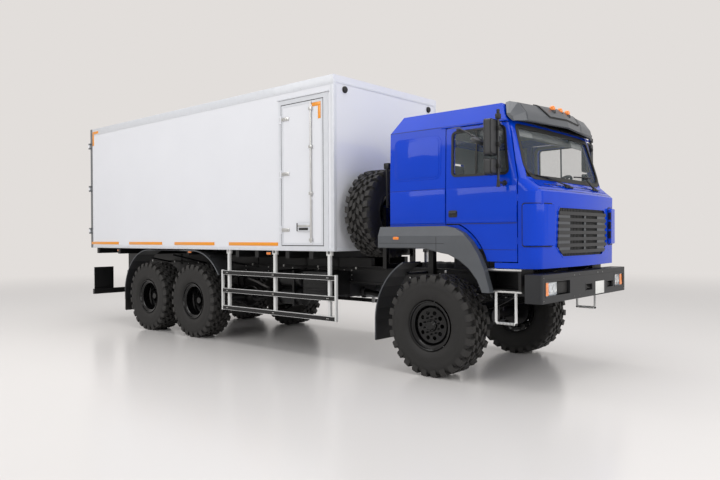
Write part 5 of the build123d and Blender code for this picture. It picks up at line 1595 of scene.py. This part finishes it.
def larger(tree, first, second):
    node = tree.nodes.new("ShaderNodeMath")
    node.operation = "MAXIMUM"
    tree.links.new(first, node.inputs[0])
    tree.links.new(second, node.inputs[1])
    return node.outputs[0]


def add_floor():
    mesh = bpy.data.meshes.new("studio_floor")
    bm = bmesh.new()
    bmesh.ops.create_circle(bm, cap_ends=True, segments=96, radius=FLOOR_R)
    bm.to_mesh(mesh)
    bm.free()
    floor = bpy.data.objects.new("studio_floor", mesh)
    bpy.context.scene.collection.objects.link(floor)
    mat = bpy.data.materials.new("studio_floor")
    mat.use_nodes = True
    nodes, links = mat.node_tree.nodes, mat.node_tree.links
    bsdf = nodes["Principled BSDF"]
    bsdf.inputs["Base Color"].default_value = srgb(228, 224, 220)
    bsdf.inputs["Roughness"].default_value = 0.22
    glow = nodes.new("ShaderNodeEmission")
    glow.inputs["Color"].default_value = BACKDROP
    coord = nodes.new("ShaderNodeTexCoord")
    length = nodes.new("ShaderNodeVectorMath")
    length.operation = "LENGTH"
    links.new(coord.outputs["Object"], length.inputs[0])
    fade = nodes.new("ShaderNodeMapRange")
    fade.interpolation_type = "SMOOTHSTEP"
    fade.inputs["From Min"].default_value, fade.inputs["From Max"].default_value = FLOOR_FADE
    links.new(length.outputs["Value"], fade.inputs["Value"])
    mixed(mat.node_tree, fade.outputs["Result"], bsdf.outputs["BSDF"], glow.outputs["Emission"],
          nodes["Material Output"])
    mesh.materials.append(mat)


def add_world():
    """A soft grey light, with the backdrop's colour where the camera sees it."""
    world = bpy.data.worlds.new("studio")
    bpy.context.scene.world = world
    world.use_nodes = True
    tree = world.node_tree
    light = tree.nodes["Background"]
    light.inputs["Color"].default_value = (0.93, 0.95, 1.0, 1)
    light.inputs["Strength"].default_value = 0.5
    seen = tree.nodes.new("ShaderNodeBackground")
    seen.inputs["Color"].default_value = BACKDROP
    ray = tree.nodes.new("ShaderNodeLightPath").outputs
    visible = larger(tree, ray["Is Camera Ray"], ray["Is Transmission Ray"])
    visible = larger(tree, visible, ray["Is Glossy Ray"])
    mixed(tree, visible, light.outputs["Background"], seen.outputs["Background"], tree.nodes["World Output"])


def add_light(name, at, target, size_x, size_y, power):
    data = bpy.data.lights.new(name, "AREA")
    data.shape = "RECTANGLE"
    data.size, data.size_y = size_x, size_y
    data.energy = power
    lamp = bpy.data.objects.new(name, data)
    at, target = Vector(at), Vector(target)
    lamp.matrix_world = Matrix.Translation(at) @ (target - at).to_track_quat("-Z", "Y").to_matrix().to_4x4()
    bpy.context.scene.collection.objects.link(lamp)


SOFT_ANGLE = math.radians(20)
SOFT_EDGES = {"cab_shell": 0.014, "cab_roof": 0.014, "door_right": 0.005, "door_left": 0.005,
              "bumper": 0.008, "wheel_arch_flares": 0.008, "sun_visor": 0.006}


def soften_edges():
    """Small rounds on the hard edges of pressed and moulded CAD pieces."""
    for name, width in SOFT_EDGES.items():
        piece = bpy.data.objects[name]
        bevel = piece.modifiers.new("soft_edge", "BEVEL")
        bevel.width = width
        bevel.segments = 3
        bevel.limit_method = "ANGLE"
        bevel.angle_limit = SOFT_ANGLE


add_camera()
add_floor()
add_world()
add_light("key", (-1.0, -12.0, 8.0), (0, 0, 1.8), 12, 6, 620)
add_light("top", (0, 0, 11.0), (0, 0, 0), 14, 8, 660)
add_light("front", (13.0, -1.0, 6.0), (3, 0, 1.5), 10, 8, 560)
bpy.context.scene.view_settings.view_transform = "Standard"
add_tyres()
add_rims()
add_cab_sides()
add_cab_front()
add_corner_covers()
add_visor()
add_mirrors()
add_body_trim()
add_side_door()
add_rear()
add_side_guards()
add_guard_lips()
add_steps()
add_flares()
add_bumper()
add_interior()
add_seats()
add_frame_details()
add_running_gear()
add_tanks()
add_engine()
add_spare()
soften_edges()
